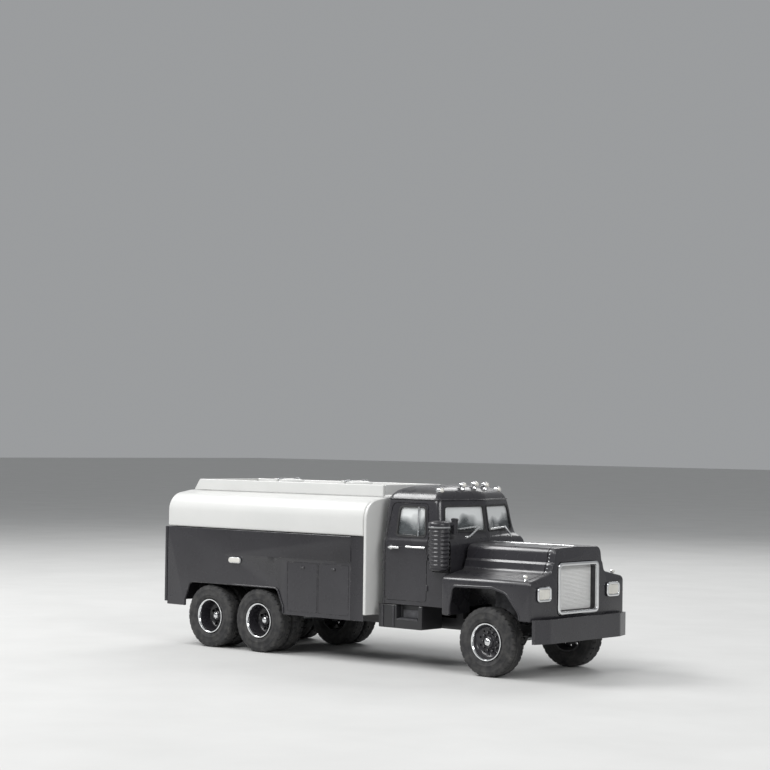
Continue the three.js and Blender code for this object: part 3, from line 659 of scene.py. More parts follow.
# height, half width, back, front at the pillars, front at the middle
CAB_LEVELS = [
    (28.7, 30.2, 22.4, 63.5, 64.0),
    (55.2, 30.2, 22.4, 63.5, 64.0),
    (57.6, 29.9, 22.4, 63.3, 64.0),
    (59.6, 29.1, 22.4, 62.2, 63.95),
    (61.8, 28.6, 22.4, 58.1, 63.7),
    (75.6, 26.6, 22.6, 55.2, 61.4),
    (78.4, 25.4, 23.0, 54.6, 60.8),
    (81.0, 22.5, 24.4, 53.5, 59.2),
    (82.6, 18.2, 27.2, 51.4, 56.6),
    (83.5, 11.5, 31.5, 48.4, 52.6),
    (83.8, 5.0, 36.0, 44.0, 46.5),
]
PLAN_RADII = (5.0, 3.0, 12.0, 3.0, 5.0)
FULL_PLAN = 20.0  # half width below which the plan's corners shrink with it
POST = 1.1  # half width of the post between the windshield's panes
CLEANER = {"x": 60.2, "y": -31.6, "radius": 5.0}
INTAKE = {"x": 61.9, "y": -22.6, "radius": 1.5, "bottom": 62.2, "inlet": 66.4}


def eased(rows, per_span=5):
    """Rows of numbers joined by monotone curves of the first number, with no overshoot."""
    count = len(rows)
    slopes = []
    for i in range(count):
        slope = []
        for k in range(1, len(rows[0])):
            if i in (0, count - 1):
                slope.append(0.0)
                continue
            before = (rows[i][k] - rows[i - 1][k]) / (rows[i][0] - rows[i - 1][0])
            after = (rows[i + 1][k] - rows[i][k]) / (rows[i + 1][0] - rows[i][0])
            slope.append(2 * before * after / (before + after) if before * after > 0 else 0.0)
        slopes.append(slope)
    first, last = rows[0], rows[-1]
    slopes[-1] = [2 * (b - a) / (last[0] - rows[-2][0]) for a, b in zip(rows[-2][1:], last[1:])]
    result = []
    for i in range(count - 1):
        span = rows[i + 1][0] - rows[i][0]
        for step in range(per_span):
            t = step / per_span
            row = [rows[i][0] + span * t]
            for k in range(1, len(first)):
                a, b = rows[i][k], rows[i + 1][k]
                m, n = slopes[i][k - 1] * span, slopes[i + 1][k - 1] * span
                row.append(
                    (2 * t ** 3 - 3 * t * t + 1) * a + (t ** 3 - 2 * t * t + t) * m
                    + (3 * t * t - 2 * t ** 3) * b + (t ** 3 - t * t) * n
                )
            result.append(row)
    result.append(list(last))
    return result


CAB_CURVE = eased(CAB_LEVELS)
ROOF_START = 78.0  # height above which an inset also lowers the roof


def cab_plan(half, back, pillar, nose, z, inset, radii):
    """The cab's outline from above at a height, shrunk inward by inset, as points in space."""
    places = [
        (back + inset, -half + inset), (pillar - inset, -half + inset), (nose - inset, 0),
        (pillar - inset, half - inset), (back + inset, half - inset),
    ]
    corners = [(*place, radius) for place, radius in zip(places, radii)]
    return [Vector((p.x, p.y, z)) for p in fillet(corners, 10)]


def cab_rings(inset, drop=0.0):
    """The cab's outside, shrunk inward by inset; drop lowers the open bottom."""
    rings = []
    top = CAB_CURVE[-1][0]
    for i, (z, half, back, pillar, nose) in enumerate(CAB_CURVE):
        lowered = inset * max(0.0, min(1.0, (z - ROOF_START) / (top - ROOF_START)))
        height = z - lowered - (drop if i == 0 else 0)
        radii = [max(0.4, r - inset * 0.5) * min(1.0, half / FULL_PLAN) for r in PLAN_RADII]
        rings.append(cab_plan(half, back, pillar, nose, height, inset, radii))
    return rings


def cab_body(inset, drop=0.0):
    return solid(lambda bm: add_rings(bm, cab_rings(inset, drop)))


def side_window(grow=0.0):
    g = grow
    return fillet([
        (WINDOW["back"] - g, WINDOW["bottom"] - g, 1.4 + g),
        (WINDOW["front"] + g, WINDOW["bottom"] - g, 1.2 + g),
        (WINDOW["front"] - 1.4 + g, WINDOW["top"] + g, 1.6 + g),
        (WINDOW["back"] + 0.6 - g, WINDOW["top"] + g, 1.8 + g),
    ])


def windshield_pane(side, grow=0.0):
    g = grow
    return fillet([
        (side * (POST - g), 63.2 - g, 0.8 + g), (side * (25 + g), 63.2 - g, 1.8 + g),
        (side * (23.4 + g), 74.6 + g, 2 + g), (side * (POST - g), 74.6 + g, 0.8 + g),
    ])


def rear_window(grow=0.0):
    return rectangle(-11 - grow, 11 + grow, 62.6 - grow, 73 + grow, 2 + grow)


def door_outline(grow=0.0):
    g = grow
    return fillet([
        (DOOR["back"] - g, DOOR["bottom"] - g, 2.4 + g), (DOOR["front"] + g, DOOR["bottom"] - g, 1.6 + g),
        (DOOR["front"] + g, 60 + g, 6), (DOOR["front"] - 2 + g, 75.6 + g, 2 + g),
        (DOOR["back"] + 2 - g, 75.6 + g, 2.6 + g), (DOOR["back"] - g, 62 + g, 8),
    ])


def window_prisms(bm, grow=0.0):
    add_prism(bm, side_window(grow), "y", -40, 40)
    for side in SIGNS:
        add_prism(bm, windshield_pane(side, grow), "x", 50, 70)
    add_prism(bm, rear_window(grow), "x", 15, 28)


def seam(depth, build_outer, build_inner):
    """A cutter for a groove that follows the cab's skin: a band between two prisms, down to depth."""
    band = make_object("band", solid(build_outer))
    boolean(band, cutter_of(build_inner))
    boolean(band, make_object("core", cab_body(depth)))
    return band


def make_cab():
    low, high = node_box("air_cleaner")
    shell = make_object("cab", cab_body(0))
    core = make_object("core", cab_body(CAB_WALL, drop=2))

    def cowl_sides(bm):
        for side in SIGNS:
            add_box(bm, COWL_BACK, 70, *span(side, 20, 40), 20, 61)

    boolean(core, cutter_of(cowl_sides))
    boolean(shell, core)

    def hollow(bm):
        reach = CLEANER["radius"] + 0.4
        add_prism(bm, circle(CLEANER["x"], CLEANER["y"], reach, 48), "z", low.z - 1, high.z + 3)

    boolean(shell, cutter_of(hollow))
    boolean(shell, cutter_of(window_prisms))
    groove = 0.16
    for sign in (-1, 1):
        boolean(shell, seam(
            0.45,
            lambda bm: add_prism(bm, door_outline(groove), "y", sign * 20, sign * 40),
            lambda bm: add_prism(bm, door_outline(-groove), "y", sign * 19, sign * 41),
        ))
    piece("cab_skin", shell, CHARCOAL, "truck", ["cab_shell"], smooth=35)
    make_gaskets()
    make_window_beads()
    make_cab_trim()
    panes = [f"{kind}_{side_name}" for kind in ("windshield", "side_window") for side_name, _ in SIDES]
    for node in [*panes, "rear_window"]:
        dress(node, WINDOW_PANE, 0)
    dress("cab_interior", INTERIOR, 0.4)
    make_steering_wheel()


def make_gaskets():
    """Rubber round each pane, following the cab's skin."""
    band = make_object("gasket", solid(lambda bm: window_prisms(bm, 0.55)))
    boolean(band, cutter_of(lambda bm: window_prisms(bm, -0.35)))
    boolean(band, make_object("skin", cab_body(-0.22)), "INTERSECT")
    boolean(band, make_object("core", cab_body(0.75)))
    piece("window_gaskets", band, GASKET, "truck", smooth=40)


def make_window_beads():
    """A thin bright bead outside each gasket, lying on the cab's skin."""
    band = make_object("bead", solid(lambda bm: window_prisms(bm, 0.85)))
    boolean(band, cutter_of(lambda bm: window_prisms(bm, 0.5)))
    boolean(band, make_object("skin", cab_body(-0.3)), "INTERSECT")
    boolean(band, make_object("core", cab_body(0.1)))
    piece("window_beads", band, SATIN_CHROME, "truck", smooth=40)


def cab_level(z):
    """Half width, back, pillar and nose of the cab at a height."""
    for a, b in zip(CAB_CURVE, CAB_CURVE[1:]):
        if a[0] <= z <= b[0]:
            t = (z - a[0]) / (b[0] - a[0])
            return [p + (q - p) * t for p, q in zip(a[1:], b[1:])]
    return list(CAB_CURVE[0][1:])


def skin_y(z):
    """Half width of the cab at a height."""
    return cab_level(z)[0]


DRIP_RAIL_Z = 77.4
BELT_Z = 55.4


def make_cab_trim():
    def drip_rail(bm):
        ring = cab_plan(*cab_level(DRIP_RAIL_Z), DRIP_RAIL_Z, -0.15, PLAN_RADII)
        add_tube(bm, ring + ring[:2], 0.42, 8)

    piece("roof_drip_rail", solid(drip_rail), CHARCOAL, "truck", smooth=50)
    for side_name, side in SIDES:
        def divider(bm):
            foot = Vector((45.4, side * (skin_y(60.4) + 0.05), 60.4))
            head = Vector((44.1, side * (skin_y(74.0) + 0.05), 74.0))
            add_tube(bm, [foot, (foot + head) / 2, head], 0.45, 10)

        piece(f"vent_divider_{side_name}", solid(divider), CHROME, "truck", smooth=60)

        def belt(bm):
            y = side * (skin_y(BELT_Z) + 0.02)
            path = [Vector((x, y, BELT_Z)) for x in (39.2, 41, 44, 48, 50.6)]
            add_tube(bm, path, 0.5, 8)

        piece(f"belt_moulding_{side_name}", solid(belt), SATIN_CHROME, "truck", smooth=60)

        def hinges(bm):
            for z in (37, 51):
                add_turned(bm, [(0, z - 1.3), (0.55, z - 1.3), (0.55, z + 1.3), (0, z + 1.3)], "z",
                           (DOOR["front"] + 0.5, side * (CAB_HALF + 0.1), 0), 16)

        piece(f"door_hinges_{side_name}", solid(hinges), CHARCOAL, "truck", edge=0.12)
        make_door_handle(side_name, side)
        make_step(side_name, side)
    make_marker_lamps()
    make_wipers()
    make_air_cleaner()


def make_door_handle(side_name, side):
    low, high = node_box(f"door_handle_{side_name}")
    z = (low.z + high.z) / 2
    skin = side * CAB_HALF
    grip = side * (CAB_HALF + 1.25)

    def build(bm):
        path = [(low.x + 0.4, skin, z), (low.x + 0.4, grip, z), (low.x + 2.2, grip + side * 0.15, z + 0.1),
                (high.x - 0.3, grip, z + 0.05), (high.x, grip - side * 0.1, z)]
        add_tube(bm, path, 0.6, 12)
        rose = [(0, 0), (1.1, 0), (1.0, side * 0.4), (0, side * 0.5)]
        add_turned(bm, rose, "y", (low.x + 0.6, skin, z), 20)

    piece(f"door_lever_{side_name}", solid(build), SATIN_CHROME, "truck",
          [f"door_handle_{side_name}"], smooth=50)


def make_step(side_name, side):
    """The box below the door, with a bright ribbed tread in its step."""
    dress(f"side_step_{side_name}", BLACK, 0.5)
    low, high = node_box(f"side_step_{side_name}")
    inner, outer = 27.4, 30.8
    floor = 21.8

    def tread(bm):
        y0, y1 = span(side, inner, outer)
        add_box(bm, 34.9, 47.1, y0, y1, floor + 0.05, floor + 0.45)
        for i in range(9):
            x = 36 + i * 1.25
            add_box(bm, x, x + 0.5, y0 + 0.4, y1 - 0.4, floor + 0.4, floor + 0.8)
        kick = span(side, inner - 0.1, inner + 0.25)
        add_box(bm, 36.1, 46.4, *kick, 22.6, 26.2)

    piece(f"step_tread_{side_name}", solid(tread), CAST, "truck", edge=0.1)

    def straps(bm):
        for x in (25.6, 32.2):
            y0, y1 = span(side, 30.6, 31.35)
            add_box(bm, x, x + 1.1, y0, y1, low.z + 0.3, high.z - 0.3)

    piece(f"tank_straps_{side_name}", solid(straps), CHARCOAL, "truck", edge=0.12)


def make_steering_wheel():
    centre = node_centre("steering_wheel")
    lean = Matrix.Translation(centre) @ Matrix.Rotation(-math.pi / 4, 4, "Y")

    def build(bm):
        rim = [(5.4 + 0.5 * math.cos(a), 0.5 * math.sin(a)) for a in (math.pi * k / 5 for k in range(10))]
        add_turned(bm, rim, "z", sides=48, closed=True)
        add_turned(bm, [(0, -0.5), (1.2, -0.5), (1.2, 0.4), (0.7, 0.7), (0, 0.8)], "z", sides=24)
        for spoke in range(3):
            angle = math.pi / 2 + spoke * 2 * math.pi / 3
            tip = Vector((math.cos(angle), math.sin(angle), 0)) * 5.3
            add_tube(bm, [tip * 0.1, tip * 0.6, tip], 0.28, 8)
        add_tube(bm, [(0, 0, -0.2), (0, 0, -4), (0, 0, -8.6)], 0.5, 10)
        bm.transform(lean)

    piece("steering_wheel_detail", solid(build), DARK_PLASTIC, "truck",
          ["steering_wheel"], smooth=40)


def make_marker_lamps():
    """Five torpedo lamps along the roof's front edge: a bright shell on a foot, with a pale lens ahead."""
    radius = 1.32
    shell_profile = [
        (0, -2.6), (0.5, -2.5), (0.95, -1.9), (1.22, -0.9), (radius, 0.2), (radius, 0.9), (1.15, 1.05),
        (0, 1.05),
    ]
    lens_profile = [(0, 1.0), (1.12, 1.0), (1.02, 1.5), (0.65, 1.95), (0, 2.1)]
    for number in range(1, 6):
        node = f"marker_lamp_{number}"
        low, high = node_box(node)
        centre = (low + high) / 2
        place = (centre.x, centre.y, high.z - radius - 0.02)

        def shell(bm):
            add_turned(bm, shell_profile, "x", place, 28)
            under = low.z - place[2]
            foot = [(0, under), (1.3, under), (1.3, -1.9), (0.9, -1.3), (0.8, -0.4), (0, -0.4)]
            add_turned(bm, foot, "z", place, 24)

        piece(f"{node}_shell", solid(shell), CHROME, "truck", [node], smooth=50)
        piece(f"{node}_lens", solid(lambda bm: add_turned(bm, lens_profile, "x", place, 24)),
              PALE_LENS, "truck", smooth=60)


def glass_x(y, z, out):
    """How far forward the windshield's skin is at a place, moved out by a little."""
    half, _, pillar, nose = cab_level(z)
    return nose - (nose - pillar) * min(1.0, abs(y) / half) + out


def make_wipers():
    specs = {
        "right": {"pivot": (-14.3, 60.4), "elbow": (-6.3, 65.0), "blade": ((-17.6, 64.1), (-5.4, 65.2))},
        "left": {"pivot": (18.0, 60.2), "elbow": (16.1, 64.3), "blade": ((1.0, 63.8), (16.9, 64.3))},
    }
    for side_name, spec in specs.items():
        pivot, elbow = spec["pivot"], spec["elbow"]
        start, end = spec["blade"]

        def build(bm):
            base = Vector((glass_x(*pivot, 0.1), *pivot))
            hand = Vector((glass_x(*elbow, 1.5), *elbow))
            knee = Vector((base.x + 1.0, *pivot)) * 0.75 + hand * 0.25
            add_turned(bm, [(0, -0.4), (0.85, -0.4), (0.75, 0.9), (0.35, 1.2), (0, 1.25)], "x", base, 20)
            add_tube(bm, [Vector((base.x + 0.9, *pivot)), knee + Vector((0.3, 0, 0)), hand], 0.5, 10)
            points = []
            for i in range(7):
                t = i / 6
                y = start[0] + (end[0] - start[0]) * t
                z = start[1] + (end[1] - start[1]) * t
                points.append(Vector((glass_x(y, z, 0.7), y, z)))
            add_tube(bm, points, 0.55, 8)
            add_tube(bm, [hand, hand - Vector((0.5, 0, 0.1))], 0.3, 8)

        piece(f"wiper_arm_{side_name}", solid(build), SATIN_CHROME, "truck",
              [f"wiper_{side_name}"], smooth=50)


def make_air_cleaner():
    """A ribbed canister with a domed cap, joined near its top to the intake stack beside the windshield."""
    low, high = node_box("air_cleaner")
    centre = (CLEANER["x"], CLEANER["y"], 0)
    radius = CLEANER["radius"]
    top = high.z - 0.9
    profile = [(0, low.z), (radius - 1, low.z), (radius - 0.35, low.z + 0.8)]
    pitch = 1.9
    rib = [(0.45, 0), (0.40, 0.2), (0.1, 0.6), (0.02, 0.95), (0.1, 1.3), (0.40, 1.7), (0.45, pitch - 0.02)]
    z = low.z + 1.4
    while z < top - 5.6:
        profile += [(radius - dip, z + up) for dip, up in rib]
        z += pitch
    profile += [
        (radius - 0.4, top - 3.7), (radius, top - 3.5), (radius, top - 1.7), (radius - 0.15, top - 1.2),
        (radius - 0.6, top - 0.7), (radius - 1.6, top - 0.3), (radius - 3, top - 0.08), (0, top),
    ]

    def canister(bm):
        add_turned(bm, profile, "z", centre, 64)

    def stack(bm):
        r = INTAKE["radius"]
        spot = (INTAKE["x"], INTAKE["y"], 0)
        bottom = INTAKE["bottom"]
        pipe = [(0, bottom), (r, bottom), (r, high.z - 1.2), (r + 0.25, high.z - 1.0)]
        rim = [(r + 0.25, high.z - 0.3), (r - 0.2, high.z), (0, high.z)]
        add_turned(bm, pipe + rim, "z", spot, 32)
        z = INTAKE["inlet"]
        add_tube(bm, [(CLEANER["x"] + 1, CLEANER["y"] + 3.8, z), (INTAKE["x"] - 0.4, INTAKE["y"] - 3, z),
                      (INTAKE["x"], INTAKE["y"], z)], 1.1, 16)

    piece("air_cleaner_canister", solid(canister), CHARCOAL, "truck",
          ["air_cleaner"], smooth=40)
    piece("air_cleaner_intake", solid(stack), CHARCOAL, "truck", smooth=40)
    band = [(radius - 0.05, top - 3.45), (radius + 0.12, top - 3.35), (radius + 0.12, top - 2.75),
            (radius - 0.05, top - 2.65)]

    def trims(bm):
        add_turned(bm, band, "z", centre, 64, closed=True)
        bracket = [(2.4, 3.8), (3.6, 4.2), (4.8, 4.4)]
        add_tube(bm, [(centre[0] - back, centre[1] + inward, top - 3.1) for back, inward in bracket], 0.45, 10)

    piece("air_cleaner_band", solid(trims), CHROME, "truck", smooth=50)


# ------------------------------------------------------------------ hood and front

GRILLE = {"half": 15.8, "low": 27.6, "high": 51.6}
LAMP = {"y": 26.4, "z": 37.8, "width": 10.0, "height": 6.6}
ARCH = [
    (69.5, 10), (69.5, 30), (71.2, 39.6, 3), (94.3, 40, 3), (102, 38, 5), (109.5, 29.4, 5), (110.4, 10),
]


def hood_section(inset, drop=0.0):
    """The hood and fenders from the front: fender tops, a ledge on each side, then the hood's crown."""
    half_side = [
        (FENDER_HALF - inset, HOOD_BOTTOM - drop), (FENDER_HALF - inset, FENDER_CROWN - inset, 2.6),
        (20.6 - inset, 46.4 - inset, 2.6), (19.4 - inset, 50.4 - inset * 0.6, 1.0),
        (HOOD_HALF - inset, 51.4 - inset * 0.4, 1.0),
        (HOOD_HALF - 1.2 - inset, HOOD_TOP - 0.6 - inset, 3.6), (0, HOOD_TOP - inset, 60),
    ]
    mirrored = [(-corner[0], *corner[1:]) for corner in half_side[-2::-1]]
    return fillet(half_side + mirrored, 8)


def hood_prism(inset, drop, x0, x1):
    return lambda bm: add_prism(bm, hood_section(inset, drop), "x", x0, x1)


def hood_body():
    shell = make_object("hood", solid(hood_prism(0, 0, HOOD_BACK, HOOD_FRONT)))
    soften_ends(shell, 1.1)
    boolean(shell, cutter_of(hood_prism(HOOD_WALL, 2, HOOD_BACK + HOOD_WALL, HOOD_FRONT - HOOD_WALL)))

    def back_opening(bm):
        add_box(bm, HOOD_BACK - 1, HOOD_BACK + 3, -17, 17, 10, 50)

    def upper_back_opening(bm):
        add_box(bm, HOOD_BACK - 1, HOOD_BACK + 3, -15.2, 15.2, 49, 55.5)

    boolean(shell, cutter_of(back_opening))
    boolean(shell, cutter_of(upper_back_opening))
    for low, high in ((-40, -20), (20, 40)):
        boolean(shell, cutter_of(lambda bm: add_prism(bm, fillet(ARCH), "y", low, high)))
    opening = rectangle(-GRILLE["half"], GRILLE["half"], GRILLE["low"], GRILLE["high"], 2.6)
    boolean(shell, cutter_of(lambda bm: add_prism(bm, opening, "x", HOOD_FRONT - 4, HOOD_FRONT + 1)))
    return shell


def groove_cutter(x0, x1, depth):
    """A shallow channel round the hood's outside between two stations."""
    band = make_object("band", solid(lambda bm: add_box(bm, x0, x1, -40, 40, 44, 70)))
    boolean(band, make_object("core", solid(hood_prism(depth, 2, x0 - 1, x1 + 1))))
    return band


def lamp_outline(side, grow, radius):
    y = side * LAMP["y"]
    width = LAMP["width"] / 2 + grow
    height = LAMP["height"] / 2 + grow
    return rectangle(y - width, y + width, LAMP["z"] - height, LAMP["z"] + height, radius)


def make_hood():
    shell = hood_body()
    boolean(shell, groove_cutter(111.2, 111.6, 0.4))
    for side in SIGNS:
        boolean(shell, cutter_of(
            lambda bm: add_prism(bm, lamp_outline(side, -1, 1.2), "x", HOOD_FRONT - 3, HOOD_FRONT + 1)))
        boolean(shell, make_ear(side), "UNION")

    def pin_hole(bm):
        add_turned(bm, [(0, -24), (1.0, -24), (1.0, 24), (0, 24)], "y", (HOOD_PIN.x, 0, HOOD_PIN.z), 32)

    boolean(shell, cutter_of(pin_hole))
    piece("hood_skin", shell, CHARCOAL, "hood", ["hood_shell"], smooth=34)
    make_hood_trim()
    make_grille()
    for side_name, side in SIDES:
        make_headlight(side_name, side)
        make_fender_trim(side_name, side)


def make_ear(side):
    """The lug below the hood's front that turns on the hinge pin."""
    low, high = span(side, 20, 21.8)
    x, z = HOOD_PIN.x, HOOD_PIN.z
    front = HOOD_FRONT - 1
    plate = fillet([(x - 1.9, z - 1.9, 1.5), (front, z - 1.9), (front, z + 4), (x - 1.9, z + 1.9, 1.5)], 6)
    return cutter_of(lambda bm: add_prism(bm, plate, "y", low, high))


RIVET_X = 112.6
TURN_LAMP = {"x": 110.8, "y": 33.2, "z": 45.4}


def make_hood_trim():
    def crease(bm):
        add_prism(bm, fillet([(-0.7, HOOD_TOP - 0.5), (0.7, HOOD_TOP - 0.5), (0.55, HOOD_TOP + 0.12, 0.3),
                              (-0.55, HOOD_TOP + 0.12, 0.3)], 4), "x", HOOD_BACK + 0.4, HOOD_FRONT - 2.4)

    piece("hood_centre_strip", solid(crease), SATIN_CHROME, "hood", edge=0.1)

    def rivets(bm):
        for side in SIGNS:
            for i in range(7):
                z = 47.2 + i * 1.55
                head = [(0, -0.3), (0.34, -0.3), (0.3, 0.14), (0.16, 0.24), (0, 0.26)]
                outward_turned(bm, head, (RIVET_X, side * hood_half(z), z), side, 12, closed=False)

    piece("radiator_shell_rivets", solid(rivets), SATIN_CHROME, "hood", smooth=60)


def hood_half(z):
    """Half width of the hood's outside at a height above the fenders."""
    points = [p for p in hood_section(0) if p.x > 0]
    for a, b in zip(points, points[1:]):
        if min(a.y, b.y) <= z <= max(a.y, b.y) and a.y != b.y:
            return a.x + (b.x - a.x) * (z - a.y) / (b.y - a.y)
    return HOOD_HALF


def arch_path(outline, y, bottom):
    """A wheel arch's edge from one foot over the wheel to the other, as points in space."""
    over = [p for p in fillet(outline) if p.y > bottom]
    return [Vector((x, y, z)) for x, z in [(over[0].x, bottom), *over, (over[-1].x, bottom)]]


def make_fender_trim(side_name, side):
    """A rolled lip round the wheel arch, and a turn lamp on the fender's front corner."""
    def lip(bm):
        add_tube(bm, arch_path(ARCH, side * (FENDER_HALF - 0.45), HOOD_BOTTOM + 0.7), 0.7, 12)

    piece(f"fender_lip_{side_name}", solid(lip), CHARCOAL, "hood", smooth=60)
    x, y, z = TURN_LAMP["x"], side * TURN_LAMP["y"], TURN_LAMP["z"]

    def foot(bm):
        stalk = [(0, 43.0), (1.15, 43.0), (1.05, 43.9), (0.6, 44.4), (0.55, 44.8), (0, 44.8)]
        add_turned(bm, stalk, "z", (x, y, 0), 24)
        add_turned(bm, [(0, -0.5), (0.9, -0.5), (1.0, 0), (0.95, 0.5), (0, 0.5)], "x", (x, y, z), 24)

    piece(f"turn_lamp_{side_name}", solid(foot), CHROME, "hood", smooth=50)

    def lens(bm):
        add_turned(bm, [(0, 0.52), (0.88, 0.52), (0.7, 0.85), (0, 1.05)], "x", (x, y, z), 24)

    piece(f"turn_lens_{side_name}", solid(lens), PALE_LENS, "hood", smooth=60)


def make_grille():
    """A bright frame round a deep recess whose walls are a dark liner standing in as painted shade, with a fine
    bright mesh at the bottom of it.
    """
    front = node_box("grille_frame")[1].x
    half, bottom, top = GRILLE["half"], GRILLE["low"], GRILLE["high"]
    back_low, back_high = node_box("grille_mesh")

    def ring(margin, radius):
        return rectangle(-half + margin, half - margin, bottom + margin, top - margin, radius, 8)

    def surround(bm):
        add_frame(bm, ring(0.3, 2.4), ring(1.9, 1.4), "x", front - 1.6, front - 0.05)

    piece("grille_surround", solid(surround), CHROME, "hood",
          ["grille_frame"], edge=0.5, segments=4)

    # Painted shade: the recess walls are dark plastic that stands in for the shadow inside the grille opening.
    def painted_shade_wall(bm):
        add_frame(bm, ring(0.6, 2.2), ring(2.0, 1.3), "x", back_low.x, front - 1.4)

    piece("grille_painted_shade_wall", solid(painted_shade_wall), DARK_PLASTIC, "hood", edge=0.1)

    def backing(bm):
        add_prism(bm, ring(2.05, 1.2), "x", back_low.x, back_low.x + 0.4)

    piece("grille_backing", solid(backing), MESH_SILVER, "hood", ["grille_mesh"])
    pitch = 0.6
    reach = half - 2.1

    def wires(bm):
        y = -reach + 0.3
        while y <= reach:
            add_box(bm, back_high.x - 0.5, back_high.x - 0.1, y - 0.17, y + 0.17, bottom + 2.1, top - 2.1)
            y += pitch
        z = bottom + 2.5
        while z <= top - 2.2:
            add_box(bm, back_high.x - 0.25, back_high.x + 0.1, -reach, reach, z - 0.17, z + 0.17)
            z += pitch

    piece("grille_wire_mesh", solid(wires), MESH_SILVER, "hood", smooth=30)


def make_headlight(side_name, side):
    low, high = node_box(f"headlight_{side_name}")
    face = HOOD_FRONT + 0.3

    def bezel(bm):
        add_frame(bm, lamp_outline(side, 0, 1.7), lamp_outline(side, -1.1, 1.1), "x", face, high.x - 0.05)

    piece(f"headlight_bezel_{side_name}", solid(bezel), CHROME, "hood",
          [f"headlight_{side_name}"], edge=0.4)

    def bowl(bm):
        add_prism(bm, lamp_outline(side, -1.05, 1.1), "x", low.x, face + 0.1)

    piece(f"headlight_bowl_{side_name}", solid(bowl), SATIN_CHROME, "hood", edge=0.2)

    def lens(bm):
        add_prism(bm, lamp_outline(side, -1.15, 1.0), "x", face + 0.15, high.x - 0.4)
        for i in range(1, 8):
            y = side * LAMP["y"] - LAMP["width"] / 2 + 1.25 + i * 0.94
            add_box(bm, high.x - 0.5, high.x - 0.25, y - 0.12, y + 0.12, LAMP["z"] - 2.1, LAMP["z"] + 2.1)

    piece(f"headlight_lens_{side_name}", solid(lens), PALE_LENS, "hood", edge=0.12)


BUMPER_MIDDLE = 21.7


def make_bumper():
    dress("front_bumper", CHARCOAL, 0.5)
    front = node_box("front_bumper")[1].x
    bolt = [(0, -0.4), (0.8, -0.4), (0.8, 0.0), (0.65, 0.3), (0.3, 0.5), (0, 0.55)]

    def fittings(bm):
        for y in (-23, -11, 11, 23):
            add_turned(bm, bolt, "x", (front - 0.58, y, BUMPER_MIDDLE), 20)

    piece("bumper_bolts", solid(fittings), SATIN_CHROME, "truck", smooth=50)
    dress("hood_hinge_pin", STEEL, 0.1)
    dress("engine", CAST, 0.35)


# ------------------------------------------------------------------ chassis


def make_chassis():
    dress("chassis_frame", BLACK, 0.3)

    def springs(bm):
        """A pair of front leaf springs outside the rails, each a pack of four curved leaves."""
        for side in SIGNS:
            y = side * 14.6
            for leaf in range(4):
                reach = 12.5 - leaf * 2.8
                under = []
                for step in range(-6, 7):
                    t = step / 6
                    rise = 1.9 * (t * reach / 12.5) ** 2
                    under.append((AXLE_X["front"] + reach * t, 17.8 - leaf * 0.62 + rise))
                over = [(x, z + 0.55) for x, z in under[::-1]]
                add_prism(bm, under + over, "y", y - 1.1, y + 1.1)

    piece("front_leaf_springs", solid(springs), BLACK, "truck", edge=0.08)


# ------------------------------------------------------------------ tank

MANWAYS = ("front", "rear")
SKIRT_STEP = {"back": -76.0, "front": 9.7, "z": 47.0, "depth": 0.7}
REAR_ARCH = [(-103, 10), (-103, 23, 4), (-99, 32.1, 3), (-38, 32.1, 3), (-34, 23, 4), (-34, 10)]


LID_RADIUS = 6.6
LID_HINGE = 8.4  # from the lid's middle back to its pin
MANWAY_RADIUS = 6.2
MANWAY_RIM = 82.6


def manway_x(which):
    """Middle of a manway, from its lid's round end."""
    return node_box(f"manway_lid_{which}")[1].x - LID_RADIUS


def tank_section(inset, bottom):
    half_side = [
        (TANK_HALF - inset, bottom), (TANK_HALF - inset, 75.2 - inset, 9 - inset * 0.6),
        (21.4, 77.6 - inset, 6), (0, TANK_CROWN - inset, 40),
    ]
    return fillet(half_side + [(-corner[0], *corner[1:]) for corner in half_side[-2::-1]], 12)


def make_tank_top():
    """The white top of the tank: one long rounded cover with raised manway collars."""
    x0, x1 = TANK_LOW.x, TANK_HIGH.x
    top = make_object("tank", solid(lambda bm: add_prism(bm, tank_section(0, TANK_BELT), "x", x0, x1)))
    soften_ends(top, 1.0)
    inner = tank_section(TANK_WALL, TANK_BELT - 2)
    boolean(top, cutter_of(lambda bm: add_prism(bm, inner, "x", x0 + TANK_WALL, x1 + 1)))
    r, rim = MANWAY_RADIUS, MANWAY_RIM
    collar = [
        (0, 77.0), (r + 0.5, 77.0), (r + 0.5, 78.7), (r - 0.25, 79.3), (r - 0.25, rim - 1.2), (r, rim - 1.0),
        (r, rim - 0.2), (r - 0.2, rim), (0, rim),
    ]
    for which in MANWAYS:
        x = manway_x(which)
        boolean(top, cutter_of(lambda bm: add_turned(bm, collar, "z", (x, 0, 0), 64)), "UNION")
        boolean(top, cutter_of(lambda bm: add_prism(bm, circle(x, 0, r - 1.3, 64), "z", 70, 90)))
    piece("tank_cover", top, WHITE, "truck", ["tank_top"], smooth=34)

    def lugs(bm):
        for which in MANWAYS:
            hinge = manway_x(which) - LID_HINGE
            for side in SIGNS:
                face = fillet([(hinge - 1.2, 77.6), (hinge + 1.2, 77.6), (hinge + 1.2, 84.4, 1.0),
                               (hinge - 1.2, 84.4, 1.0)], 5)
                add_prism(bm, face, "y", *span(side, 2.2, 3.6))

    piece("manway_hinge_lugs", solid(lugs), WHITE, "truck", edge=0.15)

    def studs(bm):
        for which in MANWAYS:
            x = manway_x(which)
            for i in range(10):
                angle = 2 * math.pi * (i + 0.5) / 10
                spot = (x + 7.4 * math.cos(angle), 7.4 * math.sin(angle), 77.9)
                add_turned(bm, [(0, 0), (0.4, 0), (0.4, 0.55), (0.25, 0.7), (0, 0.7)], "z", spot, 6)

    piece("manway_studs", solid(studs), STEEL, "truck")
    for which in MANWAYS:
        make_lid(which)


